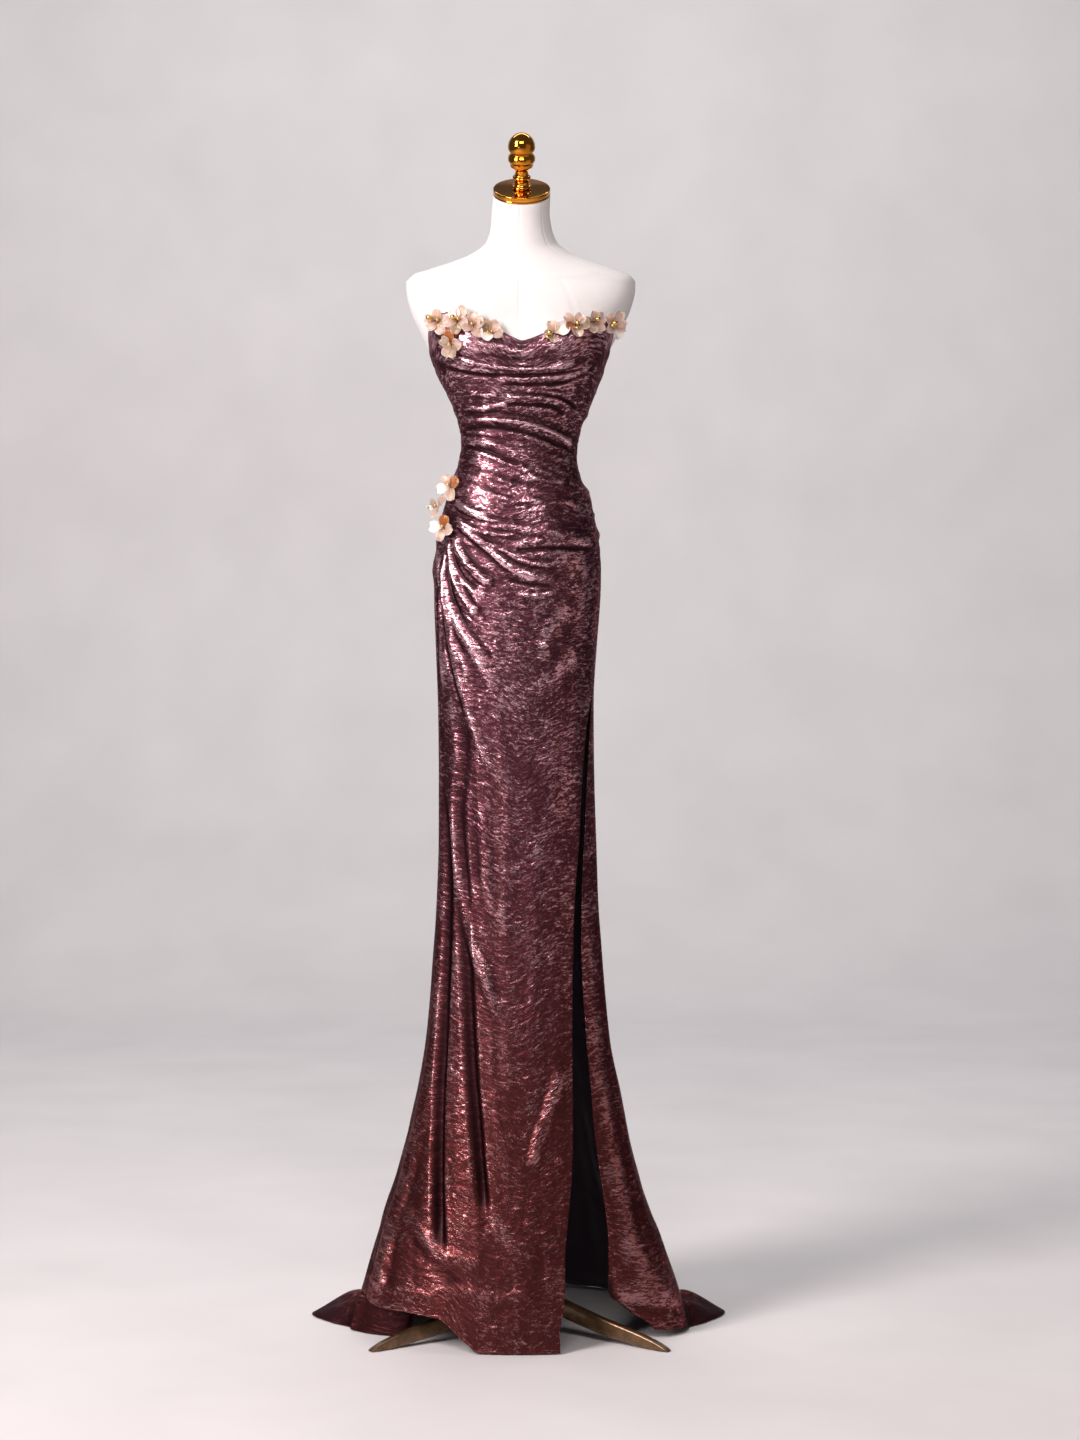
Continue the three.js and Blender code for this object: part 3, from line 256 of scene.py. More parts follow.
# Sharper creases that only this scene has
CREASES = (
    # The cowl over the bust: gentle above, steep below
    fold(2.6, 3.4, 7, 3, (-128, 1600), (-96, 1580), (-60, 1567), (-20, 1562), (20, 1561), (60, 1565), (92, 1578)),
    fold(-2.8, -3.4, 5, 6, (-120, 1566), (-70, 1553), (-16, 1551), (30, 1551), (84, 1557), (110, 1568)),
    fold(2.2, 3.0, 6, 3, (-36, 1549), (8, 1547), (50, 1549), (92, 1557), (118, 1570)),
    fold(-2.2, -2.8, 5, 5, (-30, 1538), (14, 1536), (60, 1538), (90, 1545)),
    fold(2.4, 3.0, 6, 3, (-26, 1516), (14, 1515), (56, 1512), (78, 1498)),
    fold(-2.6, -2.4, 4, 5, (-24, 1506), (14, 1504), (54, 1501), (74, 1487)),
    fold(1.6, 2.2, 6, 4, (-138, 1616), (-122, 1594), (-98, 1576), (-70, 1566)),
    fold(0.9, 1.0, 8, 6, (-64, 1604), (-30, 1594), (10, 1589), (52, 1596), (84, 1606)),
    fold(-0.9, -0.9, 7, 6, (-70, 1590), (-30, 1581), (14, 1578), (56, 1582)),
    fold(1.6, 1.2, 5, 4, (28, 1532), (62, 1534), (100, 1546), (126, 1564)),
    fold(1.4, 2.0, 5, 4, (8, 1526), (44, 1524), (82, 1518)),
    fold(-1.6, -2.0, 4, 4, (40, 1518), (72, 1512), (92, 1498)),
    fold(1.8, 1.4, 6, 4, (-82, 1524), (-56, 1518), (-34, 1522)),
    fold(2.2, 1.8, 5, 4, (-90, 1502), (-62, 1497), (-40, 1502), (-16, 1507)),
    fold(-1.8, -1.6, 4, 4, (-86, 1492), (-56, 1489), (-30, 1494)),
    # The sharp line across the upper waist
    fold(2.6, 3.4, 6, 3, (-96, 1481), (-56, 1480), (-10, 1477), (30, 1468), (66, 1451), (86, 1436)),
    # The waist's ruching
    fold(-1.8, -3.4, 5, 5, (-90, 1467), (-44, 1467), (0, 1461), (40, 1450), (72, 1434)),
    fold(1.8, 1.8, 5, 4, (-88, 1460), (-62, 1458), (-34, 1452)),
    fold(-1.5, -1.4, 5, 4, (-88, 1437), (-54, 1430), (-28, 1419), (0, 1405)),
    fold(1.6, 1.3, 7, 5, (-78, 1428), (-44, 1420), (-12, 1406), (22, 1394)),
    fold(1.8, 1.5, 5, 4, (-70, 1396), (-38, 1386), (-6, 1372)),
    fold(1.5, 1.8, 6, 5, (10, 1392), (44, 1382), (78, 1380)),
    fold(-1.1, -1.6, 5, 4, (-92, 1384), (-60, 1374), (-30, 1360), (-2, 1350)),
    fold(1.8, 1.2, 6, 4, (16, 1352), (52, 1346), (92, 1348)),
    # Rays from the hip's gather across the hips
    fold(2.7, 1.5, 5, 4, (-106, 1352), (-82, 1338), (-56, 1330), (-26, 1328)),
    fold(-3.0, -1.8, 5, 4, (-108, 1342), (-84, 1325), (-58, 1316), (-22, 1310)),
    fold(2.7, 1.8, 5, 4, (-108, 1330), (-90, 1314), (-66, 1302), (-36, 1296), (6, 1294)),
    fold(-3.6, -2.4, 5, 5, (-108, 1314), (-84, 1290), (-58, 1268), (-34, 1247), (-8, 1230)),
    fold(-2.1, -3.3, 5, 5, (-8, 1270), (30, 1272), (66, 1273), (104, 1272)),
    fold(2.1, 1.5, 5, 4, (-70, 1291), (-40, 1276), (-6, 1262), (34, 1258)),
    fold(1.8, 2.4, 6, 4, (-26, 1268), (6, 1252), (44, 1246), (78, 1252)),
    fold(-2.1, -1.5, 6, 5, (-20, 1222), (16, 1214), (56, 1212)),
    fold(1.8, 1.2, 6, 5, (-6, 1199), (30, 1196), (64, 1204)),
    # The fan below the gather
    fold(-4.5, -3.0, 5, 5, (-112, 1290), (-106, 1256), (-90, 1226), (-66, 1204)),
    fold(3.6, 2.1, 5, 4, (-116, 1284), (-112, 1240), (-100, 1206), (-80, 1176), (-60, 1160)),
    fold(-5.1, -2.4, 6, 5, (-118, 1276), (-116, 1232), (-106, 1186), (-84, 1142), (-58, 1112), (-38, 1086)),
    fold(3.3, 1.8, 5, 4, (-122, 1270), (-122, 1210), (-112, 1150), (-92, 1092), (-74, 1052)),
    fold(-3.9, -2.1, 5, 5, (-126, 1272), (-127, 1190), (-120, 1120), (-106, 1056), (-88, 1000)),
    fold(2.7, 1.5, 4, 4, (-129, 1250), (-130, 1170), (-126, 1090), (-120, 1010)),
    fold(-2.7, -1.8, 4, 4, (-133, 1240), (-134, 1150), (-131, 1060), (-128, 960)),
    fold(-2.7, -1.5, 5, 5, (-92, 1214), (-72, 1180), (-50, 1156)),
    # Long soft creases of the skirt
    fold(1.4, 0.8, 13, 11, (-106, 990), (-101, 900), (-95, 820), (-82, 740)),
    fold(-1.6, -2.4, 12, 12, (-86, 1010), (-79, 900), (-76, 800), (-70, 710)),
    fold(1.3, 0.9, 16, 13, (-44, 1030), (-30, 950), (-20, 860), (-18, 780)),
    fold(1.1, 0.8, 20, 16, (52, 1010), (46, 900), (42, 790)),
    fold(1.2, 1.0, 18, 15, (22, 770), (27, 640), (24, 510)),
    fold(1.4, 1.0, 15, 14, (-50, 480), (-42, 380), (-28, 290)),
    fold(0.6, 1.2, 17, 13, (76, 430), (62, 386), (46, 344), (32, 300)),
    fold(1.6, 1.0, 14, 12, (62, 300), (68, 230), (66, 160)),
    fold(2.6, 2.4, 18, 13, (-196, 214), (-150, 146), (-100, 112), (-50, 118)),
    fold(-2.0, -1.6, 14, 13, (-184, 158), (-130, 96), (-84, 64)),
    fold(2.2, 2.6, 14, 11, (-112, 72), (-60, 52), (-14, 52), (24, 60)),
    fold(2.6, 2.2, 14, 10, (4, 176), (36, 148), (66, 142)),
    fold(2.2, 1.6, 14, 12, (40, 108), (62, 92), (76, 96)),
    # The rolled edge of the raised corner
    fold(3.4, 2.2, 12, 11, (-262, 114), (-244, 88), (-214, 70), (-170, 58), (-130, 50)),
    # The sides and the back: shorter drags from the hips and a few lines at the waist
    wave(2.4, 0.9, 6, 5, (-88, 1330), (-104, 1310), (-124, 1306), (-150, 1310)),
    wave(-2.4, -0.9, 5, 5, (-90, 1316), (-110, 1292), (-136, 1284)),
    wave(2.1, 0.9, 6, 5, (-92, 1250), (-106, 1200), (-112, 1140), (-114, 1060)),
    wave(1.8, 1.2, 6, 5, (-90, 1462), (-116, 1452), (-150, 1448), (-176, 1450)),
    wave(-1.8, -1.2, 5, 5, (-92, 1440), (-122, 1432), (-160, 1430)),
    wave(1.8, 1.2, 6, 5, (-94, 1408), (-124, 1402), (-164, 1400)),
    wave(1.8, 1.2, 6, 5, (90, 1456), (118, 1450), (152, 1446), (176, 1448)),
    wave(-1.8, -1.2, 5, 5, (90, 1434), (124, 1428), (164, 1426)),
    wave(1.8, 1.2, 6, 5, (92, 1402), (126, 1398), (160, 1398)),
    wave(2.1, 1.2, 6, 5, (86, 1330), (106, 1322), (140, 1318)),
    wave(1.5, 1.2, 6, 5, (88, 1560), (112, 1540), (140, 1532)),
    wave(1.5, 1.2, 6, 5, (-88, 1560), (-112, 1540), (-140, 1532)),
    wave(1.8, 1.2, 8, 7, (104, 1200), (112, 1060), (118, 900), (120, 760)),
    wave(1.8, 1.2, 8, 7, (-140, 1200), (-146, 1040), (-150, 860)),
    wave(1.8, 1.2, 8, 7, (146, 1180), (150, 1020), (150, 840)),
)


def srgb(code: str) -> tuple[float, float, float, float]:
    """Turns an sRGB hex colour to linear red, green, blue and alpha.

    Args:
        code: six hex digits, with or without a leading #.

    Returns:
        The linear colour, with alpha 1.
    """
    parts = [int(code.lstrip("#")[i:i + 2], 16) / 255 for i in (0, 2, 4)]
    linear = [c / 12.92 if c <= 0.04045 else ((c + 0.055) / 1.055) ** 2.4 for c in parts]
    return (*linear, 1.0)


def fade(v: Array, start: float, end: float) -> Array:
    """Smooth step from 0 at start to 1 at end."""
    t = np.clip((np.asarray(v, float) - start) / (end - start), 0, 1)
    return t * t * (3 - 2 * t)


class Table:
    """A column of a table, read by the monotone cubic through its rows."""

    def __init__(self, keys: Sequence[float], values: Sequence[float]) -> None:
        """Sorts the rows by key and works out the tangents: the harmonic mean of the slopes on both sides."""
        order = np.argsort(keys)
        self.x = np.asarray(keys, float)[order]
        self.y = np.asarray(values, float)[order]
        slope = np.diff(self.y) / np.diff(self.x)
        before, after = slope[:-1], slope[1:]
        same = before * after > 0
        total = np.where(same, before + after, 1)
        self.tangent = np.concatenate([[0], np.where(same, 2 * before * after / total, 0), [0]])

    def __call__(self, at: Array | float) -> Array:
        """The value at each key."""
        v = np.clip(at, self.x[0], self.x[-1])
        i = np.clip(np.searchsorted(self.x, v, side="left") - 1, 0, len(self.x) - 2)
        span = self.x[i + 1] - self.x[i]
        t = (v - self.x[i]) / span
        return ((2 * t**3 - 3 * t**2 + 1) * self.y[i] + (t**3 - 2 * t**2 + t) * span * self.tangent[i]
                + (3 * t**2 - 2 * t**3) * self.y[i + 1] + (t**3 - t**2) * span * self.tangent[i + 1])


class Lattice(Enum):
    """The noise lattices, each with its seed."""

    RUCHES = 3
    SWELLS = 5
    RAYS = 11
    RAY_SWELLS = 13
    UPRIGHT = 17
    UPRIGHT_FINE = 19
    STRAY = 23


def lattice_noise(u: Array, v: Array, lattice: Lattice) -> Array:
    """Smooth noise from -1 to 1: random values on a square lattice, joined by a quintic blend.

    Args:
        u: first coordinate, in lattice steps.
        v: second coordinate, in lattice steps.
        lattice: the lattice whose random values it joins.

    Returns:
        The noise at each place.
    """
    size = 128
    values = np.random.default_rng(lattice.value).uniform(-1, 1, (size, size))
    iu, iv = np.floor(u).astype(int), np.floor(v).astype(int)
    fu, fv = u - iu, v - iv
    su, sv = (f**3 * (f * (f * 6 - 15) + 10) for f in (fu, fv))
    corner = [[values[(iu + a) % size, (iv + b) % size] for b in (0, 1)] for a in (0, 1)]
    low = corner[0][0] * (1 - su) + corner[1][0] * su
    high = corner[0][1] * (1 - su) + corner[1][1] * su
    return low * (1 - sv) + high * sv


def ridges(noise: Array, sharp: float) -> Array:
    """Thin raised lines where the noise crosses zero: one less its size, to a power."""
    return (1 - np.abs(noise)) ** sharp


def unit(vectors: Array) -> Array:
    """Vectors in the last axis, each divided by its length."""
    return vectors / np.maximum(np.linalg.norm(vectors, axis=-1, keepdims=True), 1e-9)


def smooth_curve(knots: Array, steps: int) -> Array:
    """A Catmull-Rom curve through the knots, with steps points from each knot to the next."""
    padded = np.vstack([2 * knots[0] - knots[1], knots, 2 * knots[-1] - knots[-2]])
    t = np.linspace(0, 1, steps, endpoint=False)[:, None]
    pieces = [0.5 * (2 * b + (c - a) * t + (2 * a - 5 * b + 4 * c - d) * t**2 + (3 * b - a - 3 * c + d) * t**3)
              for a, b, c, d in zip(padded, padded[1:], padded[2:], padded[3:])]
    return np.vstack([*pieces, knots[-1]])


def zero(angle: Array, other: Array) -> Array:
    """Zero at every angle and height or row."""
    return np.zeros_like(angle)


@dataclass(frozen=True)
class Panel:
    """How one panel of the dress meets the floor and how far it is drawn in.

    lift is the hem's height over the floor by angle, run is the length of cloth on the floor by angle, and inset is
    how far the section is shrunk, by angle and height.
    """

    lift: Callable[[Array], Array]
    run: Callable[[Array], Array] = np.zeros_like
    inset: Callable[[Array, Array], Array] = zero


class DressShape:
    """The dress's outside as a surface of angle and row.

    Rows run from the top edge down to the floor and then out along it. From TOP_ROW to TAIL_TOP a row is a height,
    and below that it is the share of the tail that is left.
    """

    def __init__(self) -> None:
        """Reads the tables and turns the paths of the folds to angle and height."""
        z = [row[0] for row in SECTIONS]
        names = ("left", "right", "front", "back", "square")
        self.section = {name: Table(z, [row[i + 1] for row in SECTIONS]) for i, name in enumerate(names)}
        self.neckline = Table(*zip(*NECKLINE_ROUND, *(self.on_front(*place) for place in NECKLINE_SEEN)))
        angles, lifts, runs = zip(*HEM)
        self.hem_lift, self.hem_run = Table(angles, lifts), Table(angles, runs)
        self.front_hem = Table(*zip(*(self.on_front(*place) for place in FRONT_HEM_SEEN), (0.0, 0.0)))
        self.side_hem = Table(*zip(*SIDE_HEM))
        front = [self.on_front(x, height)[::-1] for x, height in SLIT_FRONT_SEEN] + [(SLIT_TOP, SIDE_SEAM)]
        self.slit_front = Table(*zip(*front))
        side = [(*self.on_front(*place), place[2]) for place in SLIT_SIDE_SEEN]
        angles, heights, insets = zip(*side, (SIDE_SEAM, SLIT_TOP, 0))
        self.slit_side, self.slit_inset = Table(heights, angles), Table(heights, insets)
        self.main_folds = [self.fold_path(one) for one in MAIN_FOLDS]
        self.creases = [self.fold_path(one) for one in CREASES]

    def girth(self, z: Array) -> Array:
        """Mean radius of the section at a height."""
        return sum(self.section[name](z) for name in ("left", "right", "front", "back")) / 4

    def ring(self, angle: Array, z: Array, inset: Array | float, rounder: float = 0) -> tuple[Array, ...]:
        """A point of the section on the ray at an angle, where (|x| / a)^n + (|y| / b)^n = 1.

        Args:
            angle: ray's angle in degrees.
            z: height of the section.
            inset: how far the section is shrunk on every side.
            rounder: lowers the power n, which draws the corners in.

        Returns:
            x, y, and the two parts of the outward direction.
        """
        sine, cosine = np.sin(np.radians(angle)), np.cos(np.radians(angle))
        power = self.section["square"](z) - rounder
        across = np.where(sine < 0, self.section["left"](z), self.section["right"](z)) - inset
        deep = np.where(cosine > 0, self.section["front"](z), self.section["back"](z)) - inset
        a, b = np.abs(sine) / across, np.abs(cosine) / deep
        reach = (a**power + b**power) ** (-1 / power)
        nx = np.sign(sine) * a ** (power - 1) / across
        ny = -np.sign(cosine) * b ** (power - 1) / deep
        size = np.hypot(nx, ny)
        return reach * sine, -reach * cosine, nx / size, ny / size

    def on_front(self, seen_x: float, seen_z: float, inset: float = 0) -> tuple[float, float]:
        """The angle and true height of a place on the front that is given as seen from the eye."""
        x, z, angle = seen_x, seen_z, 0.0
        for _ in range(4):
            power = float(self.section["square"](z))
            half = float(self.section["left" if x < 0 else "right"](z)) - inset
            share = min(abs(x) / half, 0.999)
            deep = (float(self.section["front"](z)) - inset) * (1 - share**power) ** (1 / power)
            angle = math.degrees(math.atan2(math.copysign(share * half, x) if x else 0.0, deep))
            nearer = 1 - deep / EYE_AWAY
            x = seen_x * nearer
            z = EYE_UP + (seen_z - EYE_UP) * nearer
        return angle, z

    def bust(self, angle: Array, z: Array) -> Array:
        """Rise of the two domes: a bell curve of the distance from each dome's middle."""
        total = np.zeros_like(z)
        for place, height, wide, tall, rise in BUST:
            across = np.radians(angle - place) * self.girth(z) / wide
            total = total + rise * np.exp(-(across**2 + ((z - height) / tall) ** 2))
        return total

    def fold_path(self, one: Fold) -> tuple[Fold, Array]:
        """The fold, and its path as a smooth curve of angle and height."""
        knots = np.array([point if one.round_body else self.on_front(*point) for point in one.path])
        return one, smooth_curve(knots, FOLD_STEPS)

    def rise(self, folds: list[tuple[Fold, Array]], angle: Array, z: Array) -> Array:
        """How far folds lift the cloth: each is a bump over the distance to its path, faded at both ends.

        Args:
            folds: the folds with their paths.
            angle: angles of the points.
            z: heights of the points.

        Returns:
            The rise at each point, in millimetres.
        """
        total = np.zeros(z.size)
        flat_angle, flat_z = np.ravel(angle), np.ravel(z)
        scale = np.radians(1) * self.girth(flat_z)
        for one, path in folds:
            wide = max(one.above, one.below)
            middle = path[:, 0].mean()
            turned = flat_angle - 360 * np.round((flat_angle - middle) / 360)
            margin = wide / scale
            near = ((flat_z < path[:, 1].max() + wide) & (flat_z > path[:, 1].min() - wide)
                    & (turned < path[:, 0].max() + margin) & (turned > path[:, 0].min() - margin))
            if not near.any():
                continue
            size = scale[near][:, None]
            px = (turned[near][:, None] - path[None, :-1, 0]) * size
            py = flat_z[near][:, None] - path[None, :-1, 1]
            bx = np.diff(path[:, 0])[None] * size
            by = np.diff(path[:, 1])[None] + 0 * size
            t = np.clip((px * bx + py * by) / (bx**2 + by**2), 0, 1)
            distance = np.hypot(px - t * bx, py - t * by)
            best = distance.argmin(axis=1)
            row = np.arange(len(best))
            side = (bx * py - by * px)[row, best]
            along = (best + t[row, best]) / (len(path) - 1)
            width = np.where(side > 0, one.above, one.below)
            bump = np.clip(1 - (distance[row, best] / width) ** 2, 0, 1) ** 2
            ends = fade(along, 0, 0.12) * (1 - fade(along, 0.86, 1))
            total[near] += (one.start + (one.end - one.start) * along) * bump * ends
        return total.reshape(np.shape(z))

    def ruching(self, angle: Array, z: Array) -> Array:
        """Fine drawn-up wrinkles: noise stretched along the drape's own lines, as thin ridges and soft swells.

        Above the hips the lines sag over the bust and slope down to the slit's side. Round the hip's gather they run
        out like rays. Down the skirt they are upright and faint.
        """
        arc = np.radians(angle) * self.girth(z)
        drop = fade(z, 1560, 1440) * 0.22 * (1 - fade(z, 1400, 1330) * 0.4)
        sag = 0.0009 * fade(z, 1500, 1590)
        level = z + drop * arc - sag * np.minimum(np.abs(arc), 150) ** 2
        bodice = fade(z, 1150, 1330) * (1 - 0.45 * fade(np.abs(angle), 100, 150))
        fine = ridges(lattice_noise(arc / 46 + level / 60, level / 10.5, Lattice.RUCHES), 5)
        broad = lattice_noise(arc / 70 + 7, level / 19, Lattice.SWELLS)
        out = bodice * (0.8 * fine + 1.1 * broad)
        gather_angle, gather_z = self.on_front(*GATHER_SEEN)
        dx = np.radians(angle - gather_angle) * self.girth(z)
        dz = z - gather_z
        far = np.hypot(dx, dz)
        heading = np.arctan2(dz, dx)
        rays = ridges(lattice_noise(heading / 0.16 + 40, far / 120, Lattice.RAYS), 4)
        swell = lattice_noise(heading / 0.26 + 20, far / 150, Lattice.RAY_SWELLS)
        around = np.exp(-far / 150) * fade(far, 10, 60) * fade(np.abs(angle), 125, 95)
        below = (fade(heading, math.radians(50), math.radians(10))
                 * fade(heading, math.radians(-125), math.radians(-100)))
        out = out + around * below * (1.8 * rays + 1.6 * swell)
        skirt = 1 - fade(z, 1080, 1240)
        upright = (lattice_noise(arc / 24 + 3, z / 230, Lattice.UPRIGHT) * 1.1
                   + lattice_noise(arc / 11, z / 120 + 5, Lattice.UPRIGHT_FINE) * 0.35)
        return out + skirt * upright * (0.5 + 0.5 * fade(z, 900, 300))

    @staticmethod
    def hem_shift(row: Array, lift: Array) -> Array:
        """How far a row is raised by a hem that stands off the floor."""
        return lift * np.clip((HEM_BLEND - row) / (HEM_BLEND - TAIL_TOP), 0, 1) ** 1.2

    @staticmethod
    def train_folds(angle: Array, run: Array, share: Array) -> Array:
        """Soft folds of the train over the floor: a pillow at each side, and pleats that fan out round the back.

        Each is an arch in share, sin(pi s), times a bell curve or a cosine of the angle.
        """
        lobe = np.exp(-((np.abs(angle) - 111) / 13) ** 2)
        pleats = 0.5 + 0.5 * np.cos(np.radians(angle) * 25 + 1.5 * np.sin(np.radians(angle) * 7))
        return fade(run, 4, 40) * np.sin(np.pi * share) * (lobe * (20 + 6 * pleats) + 1.5 * pleats)

    def point(self, angle: Array, row: Array, panel: Panel, detail: float = 1.0) -> Array:
        """The dress's outside: the section at the row's height, moved out by bust, folds and wrinkles.

        Below TAIL_TOP the row follows a quadratic curve from the last section to the floor and out along it.

        Args:
            angle: angle of each point.
            row: row of each point.
            panel: the panel's hem and inset.
            detail: 0 for the solids' own surface, 1 for all the creases and wrinkles.

        Returns:
            The points, with x, y and z in the last axis.
        """
        lift, run = panel.lift(angle), panel.run(angle)
        body = np.maximum(row, TAIL_TOP)
        raised = (self.neckline(angle) - TOP_ROW) * np.clip((body - TOP_BLEND) / (TOP_ROW - TOP_BLEND), 0, 1)
        z = body + raised + self.hem_shift(body, lift)
        inset = panel.inset(angle, z)
        x, y, nx, ny = self.ring(angle, z, inset)
        rise = self.bust(angle, z) + self.rise(self.main_folds, angle, z)
        if detail:
            calm = fade(z, 30, 90) * (1 - 0.6 * fade(row, TOP_ROW - 22, TOP_ROW))
            rise = rise + detail * calm * (self.rise(self.creases, angle, z) + self.ruching(angle, z))
        body_point = np.stack([x + nx * rise, y + ny * rise, z], axis=-1)
        share = np.clip(1 - row / TAIL_TOP, 0, 1)[..., None]
        fx, fy, fnx, fny = self.ring(angle, lift, inset)
        foot_rise = self.rise(self.main_folds, angle, TAIL_TOP + lift)
        end = lift + FLOOR_STAND
        bend, reach = foot_rise + run * 0.12, foot_rise + run
        low = np.stack([fx + fnx * bend, fy + fny * bend, end], axis=-1)
        tip = np.stack([fx + fnx * reach, fy + fny * reach, end], axis=-1)
        made = (1 - share) ** 2 * body_point + 2 * share * (1 - share) * low + share**2 * tip
        made[..., 2] += detail * self.train_folds(angle, run, share[..., 0])
        return made


def frame_place(points: Array) -> Array:
    """Moves points in millimetres about the pole to the frame, in metres."""
    low, high = (np.array(corner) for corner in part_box("stand_pole"))
    axis = (low + high) / 2
    return np.asarray(points, float) * MM + np.array([axis[0], axis[1], 0.0])


def make_piece(name: str, points: Array, groups: Sequence[Array], slot: str, node: str) -> bpy.types.Object:
    """Args:
        name: the piece's name.
        points: vertices in millimetres about the pole, one a row.
        groups: arrays of faces, each with one number of corners.
        slot: a material slot's name; not used.
        node: the CAD node that it stands for.

    Returns:
        The object, riding on the one body.
    """
    sizes = np.concatenate([np.full(len(group), group.shape[1]) for group in groups])
    corners = np.concatenate([group.ravel() for group in groups])
    mesh = bpy.data.meshes.new(name)
    mesh.vertices.add(len(points))
    mesh.vertices.foreach_set("co", frame_place(points).astype(np.float32).ravel())
    mesh.loops.add(len(corners))
    mesh.loops.foreach_set("vertex_index", corners.astype(np.int32))
    mesh.polygons.add(len(sizes))
    mesh.polygons.foreach_set("loop_start", (np.cumsum(sizes) - sizes).astype(np.int32))
    mesh.polygons.foreach_set("use_smooth", np.full(len(sizes), True))
    mesh.update(calc_edges=True)
    mesh.validate()
    piece = bpy.data.objects.new(name, mesh)
    bpy.context.scene.collection.objects.link(piece)
    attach(piece, "root")
    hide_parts(node)
    LOG.info("%s: %d faces", name, len(sizes))
    return piece


def mark(mesh: bpy.types.Mesh, layer: str, uv: Array, **masks: Array) -> None:
    """Gives a mesh a UV map and named masks, all stated by vertex."""
    loops = np.empty(len(mesh.loops), np.int32)
    mesh.loops.foreach_get("vertex_index", loops)
    mesh.uv_layers.new(name=layer).data.foreach_set("uv", uv[loops].astype(np.float32).ravel())
    for name, values in masks.items():
        mesh.attributes.new(name, "FLOAT", "POINT").data.foreach_set("value", values.astype(np.float32))


def grid_faces(rows: int, columns: int, wrap: bool = False, flip: bool = False, start: int = 0) -> Array:
    """Quads between neighbouring points of a grid, closed round its columns where wrap is set."""
    r, c = np.meshgrid(np.arange(rows - 1), np.arange(columns if wrap else columns - 1), indexing="ij")
    a = r * columns + c
    b = r * columns + (c + 1) % columns
    quads = np.stack([a, a + columns, b + columns, b], axis=-1).reshape(-1, 4) + start
    return quads[:, ::-1] if flip else quads


def shell_faces(rows: int, columns: int) -> Array:
    """Quads of a closed wall: an outer grid, the same grid inside, and the four edges between them."""
    count = rows * columns
    outer = grid_faces(rows, columns)
    inner = grid_faces(rows, columns, flip=True, start=count)
    top = np.arange(columns)
    left = np.arange(rows) * columns
    loops = [(top, True), (top + (rows - 1) * columns, False), (left, False), (left + columns - 1, True)]
    edges = []
    for line, turned in loops:
        quad = np.stack([line[:-1], line[1:], line[1:] + count, line[:-1] + count], axis=-1)
        edges.append(quad if turned else quad[:, ::-1])
    return np.vstack([outer, inner, *edges])


def capped(rings: Array, ends: Array, flip: bool) -> tuple[Array, list[Array]]:
    """Closes a tube of rings with a fan of triangles at both ends.

    Args:
        rings: points of the rings, one ring a row.
        ends: the middle points of the first and the last ring.
        flip: turns all the faces round.

    Returns:
        All the points, and the faces as a group of quads and two of triangles.
    """
    rows, around = rings.shape[:2]
    ring = np.arange(around)
    after = (ring + 1) % around
    first, second = (after, ring) if flip else (ring, after)
    foot = np.stack([np.full_like(ring, rows * around), first, second], axis=-1)
    head = np.stack([np.full_like(ring, rows * around + 1), second, first], axis=-1)
    head[:, 1:] += (rows - 1) * around
    return np.vstack([rings.reshape(-1, 3), ends]), [grid_faces(rows, around, wrap=True, flip=flip), foot, head]


def grid_normals(points: Array) -> Array:
    """Unit directions square to a grid: the cross product of its two differences."""
    return unit(np.cross(np.gradient(points, axis=0), np.gradient(points, axis=1)))


def wire(tree: bpy.types.NodeTree, node: bpy.types.Node, links: dict) -> None:
    """Sets a node's inputs, each to a value or to another node's output socket."""
    for key, value in links.items():
        if isinstance(value, bpy.types.NodeSocket):
            tree.links.new(value, node.inputs[key])
        else:
            node.inputs[key].default_value = value


def add_node(
    tree: bpy.types.NodeTree, kind: str, links: dict | None = None, stops: Sequence[tuple[float, str]] = (),
    **settings: object,
) -> bpy.types.Node:
    """Adds a shader node.

    Args:
        tree: the material's node tree.
        kind: the node's class name, without the ShaderNode in front.
        links: input name or number to a value, or to another node's output socket.
        stops: (position, hex colour) rows, on a node that has a ramp.
        settings: attributes of the node.

    Returns:
        The node.
    """
    node = tree.nodes.new("ShaderNode" + kind)
    for name, value in settings.items():
        setattr(node, name, value)
    wire(tree, node, links or {})
    for _ in stops[2:]:
        node.color_ramp.elements.new(0.5)
    for i, (position, code) in enumerate(stops):
        node.color_ramp.elements[i].position = position
        node.color_ramp.elements[i].color = srgb(code)
    return node


class Coat(Enum):
    """How strong a finish's clear top layer is."""

    NONE = 0.0
    FAINT = 0.1
    THIN = 0.35


def new_material(name: str) -> tuple[bpy.types.Material, bpy.types.NodeTree, bpy.types.Node]:
    """A material with one Principled shader, as (material, tree, shader)."""
    material = bpy.data.materials.new(name)
    material.use_nodes = True
    return material, material.node_tree, material.node_tree.nodes["Principled BSDF"]


@dataclass(frozen=True)
class Layer:
    """One size of the cloth's crushing: width, height and depth in millimetres, its noise, and its strength."""

    wide: float
    tall: float
    depth: float
    detail: float
    roughness: float
    distortion: float
    strength: float


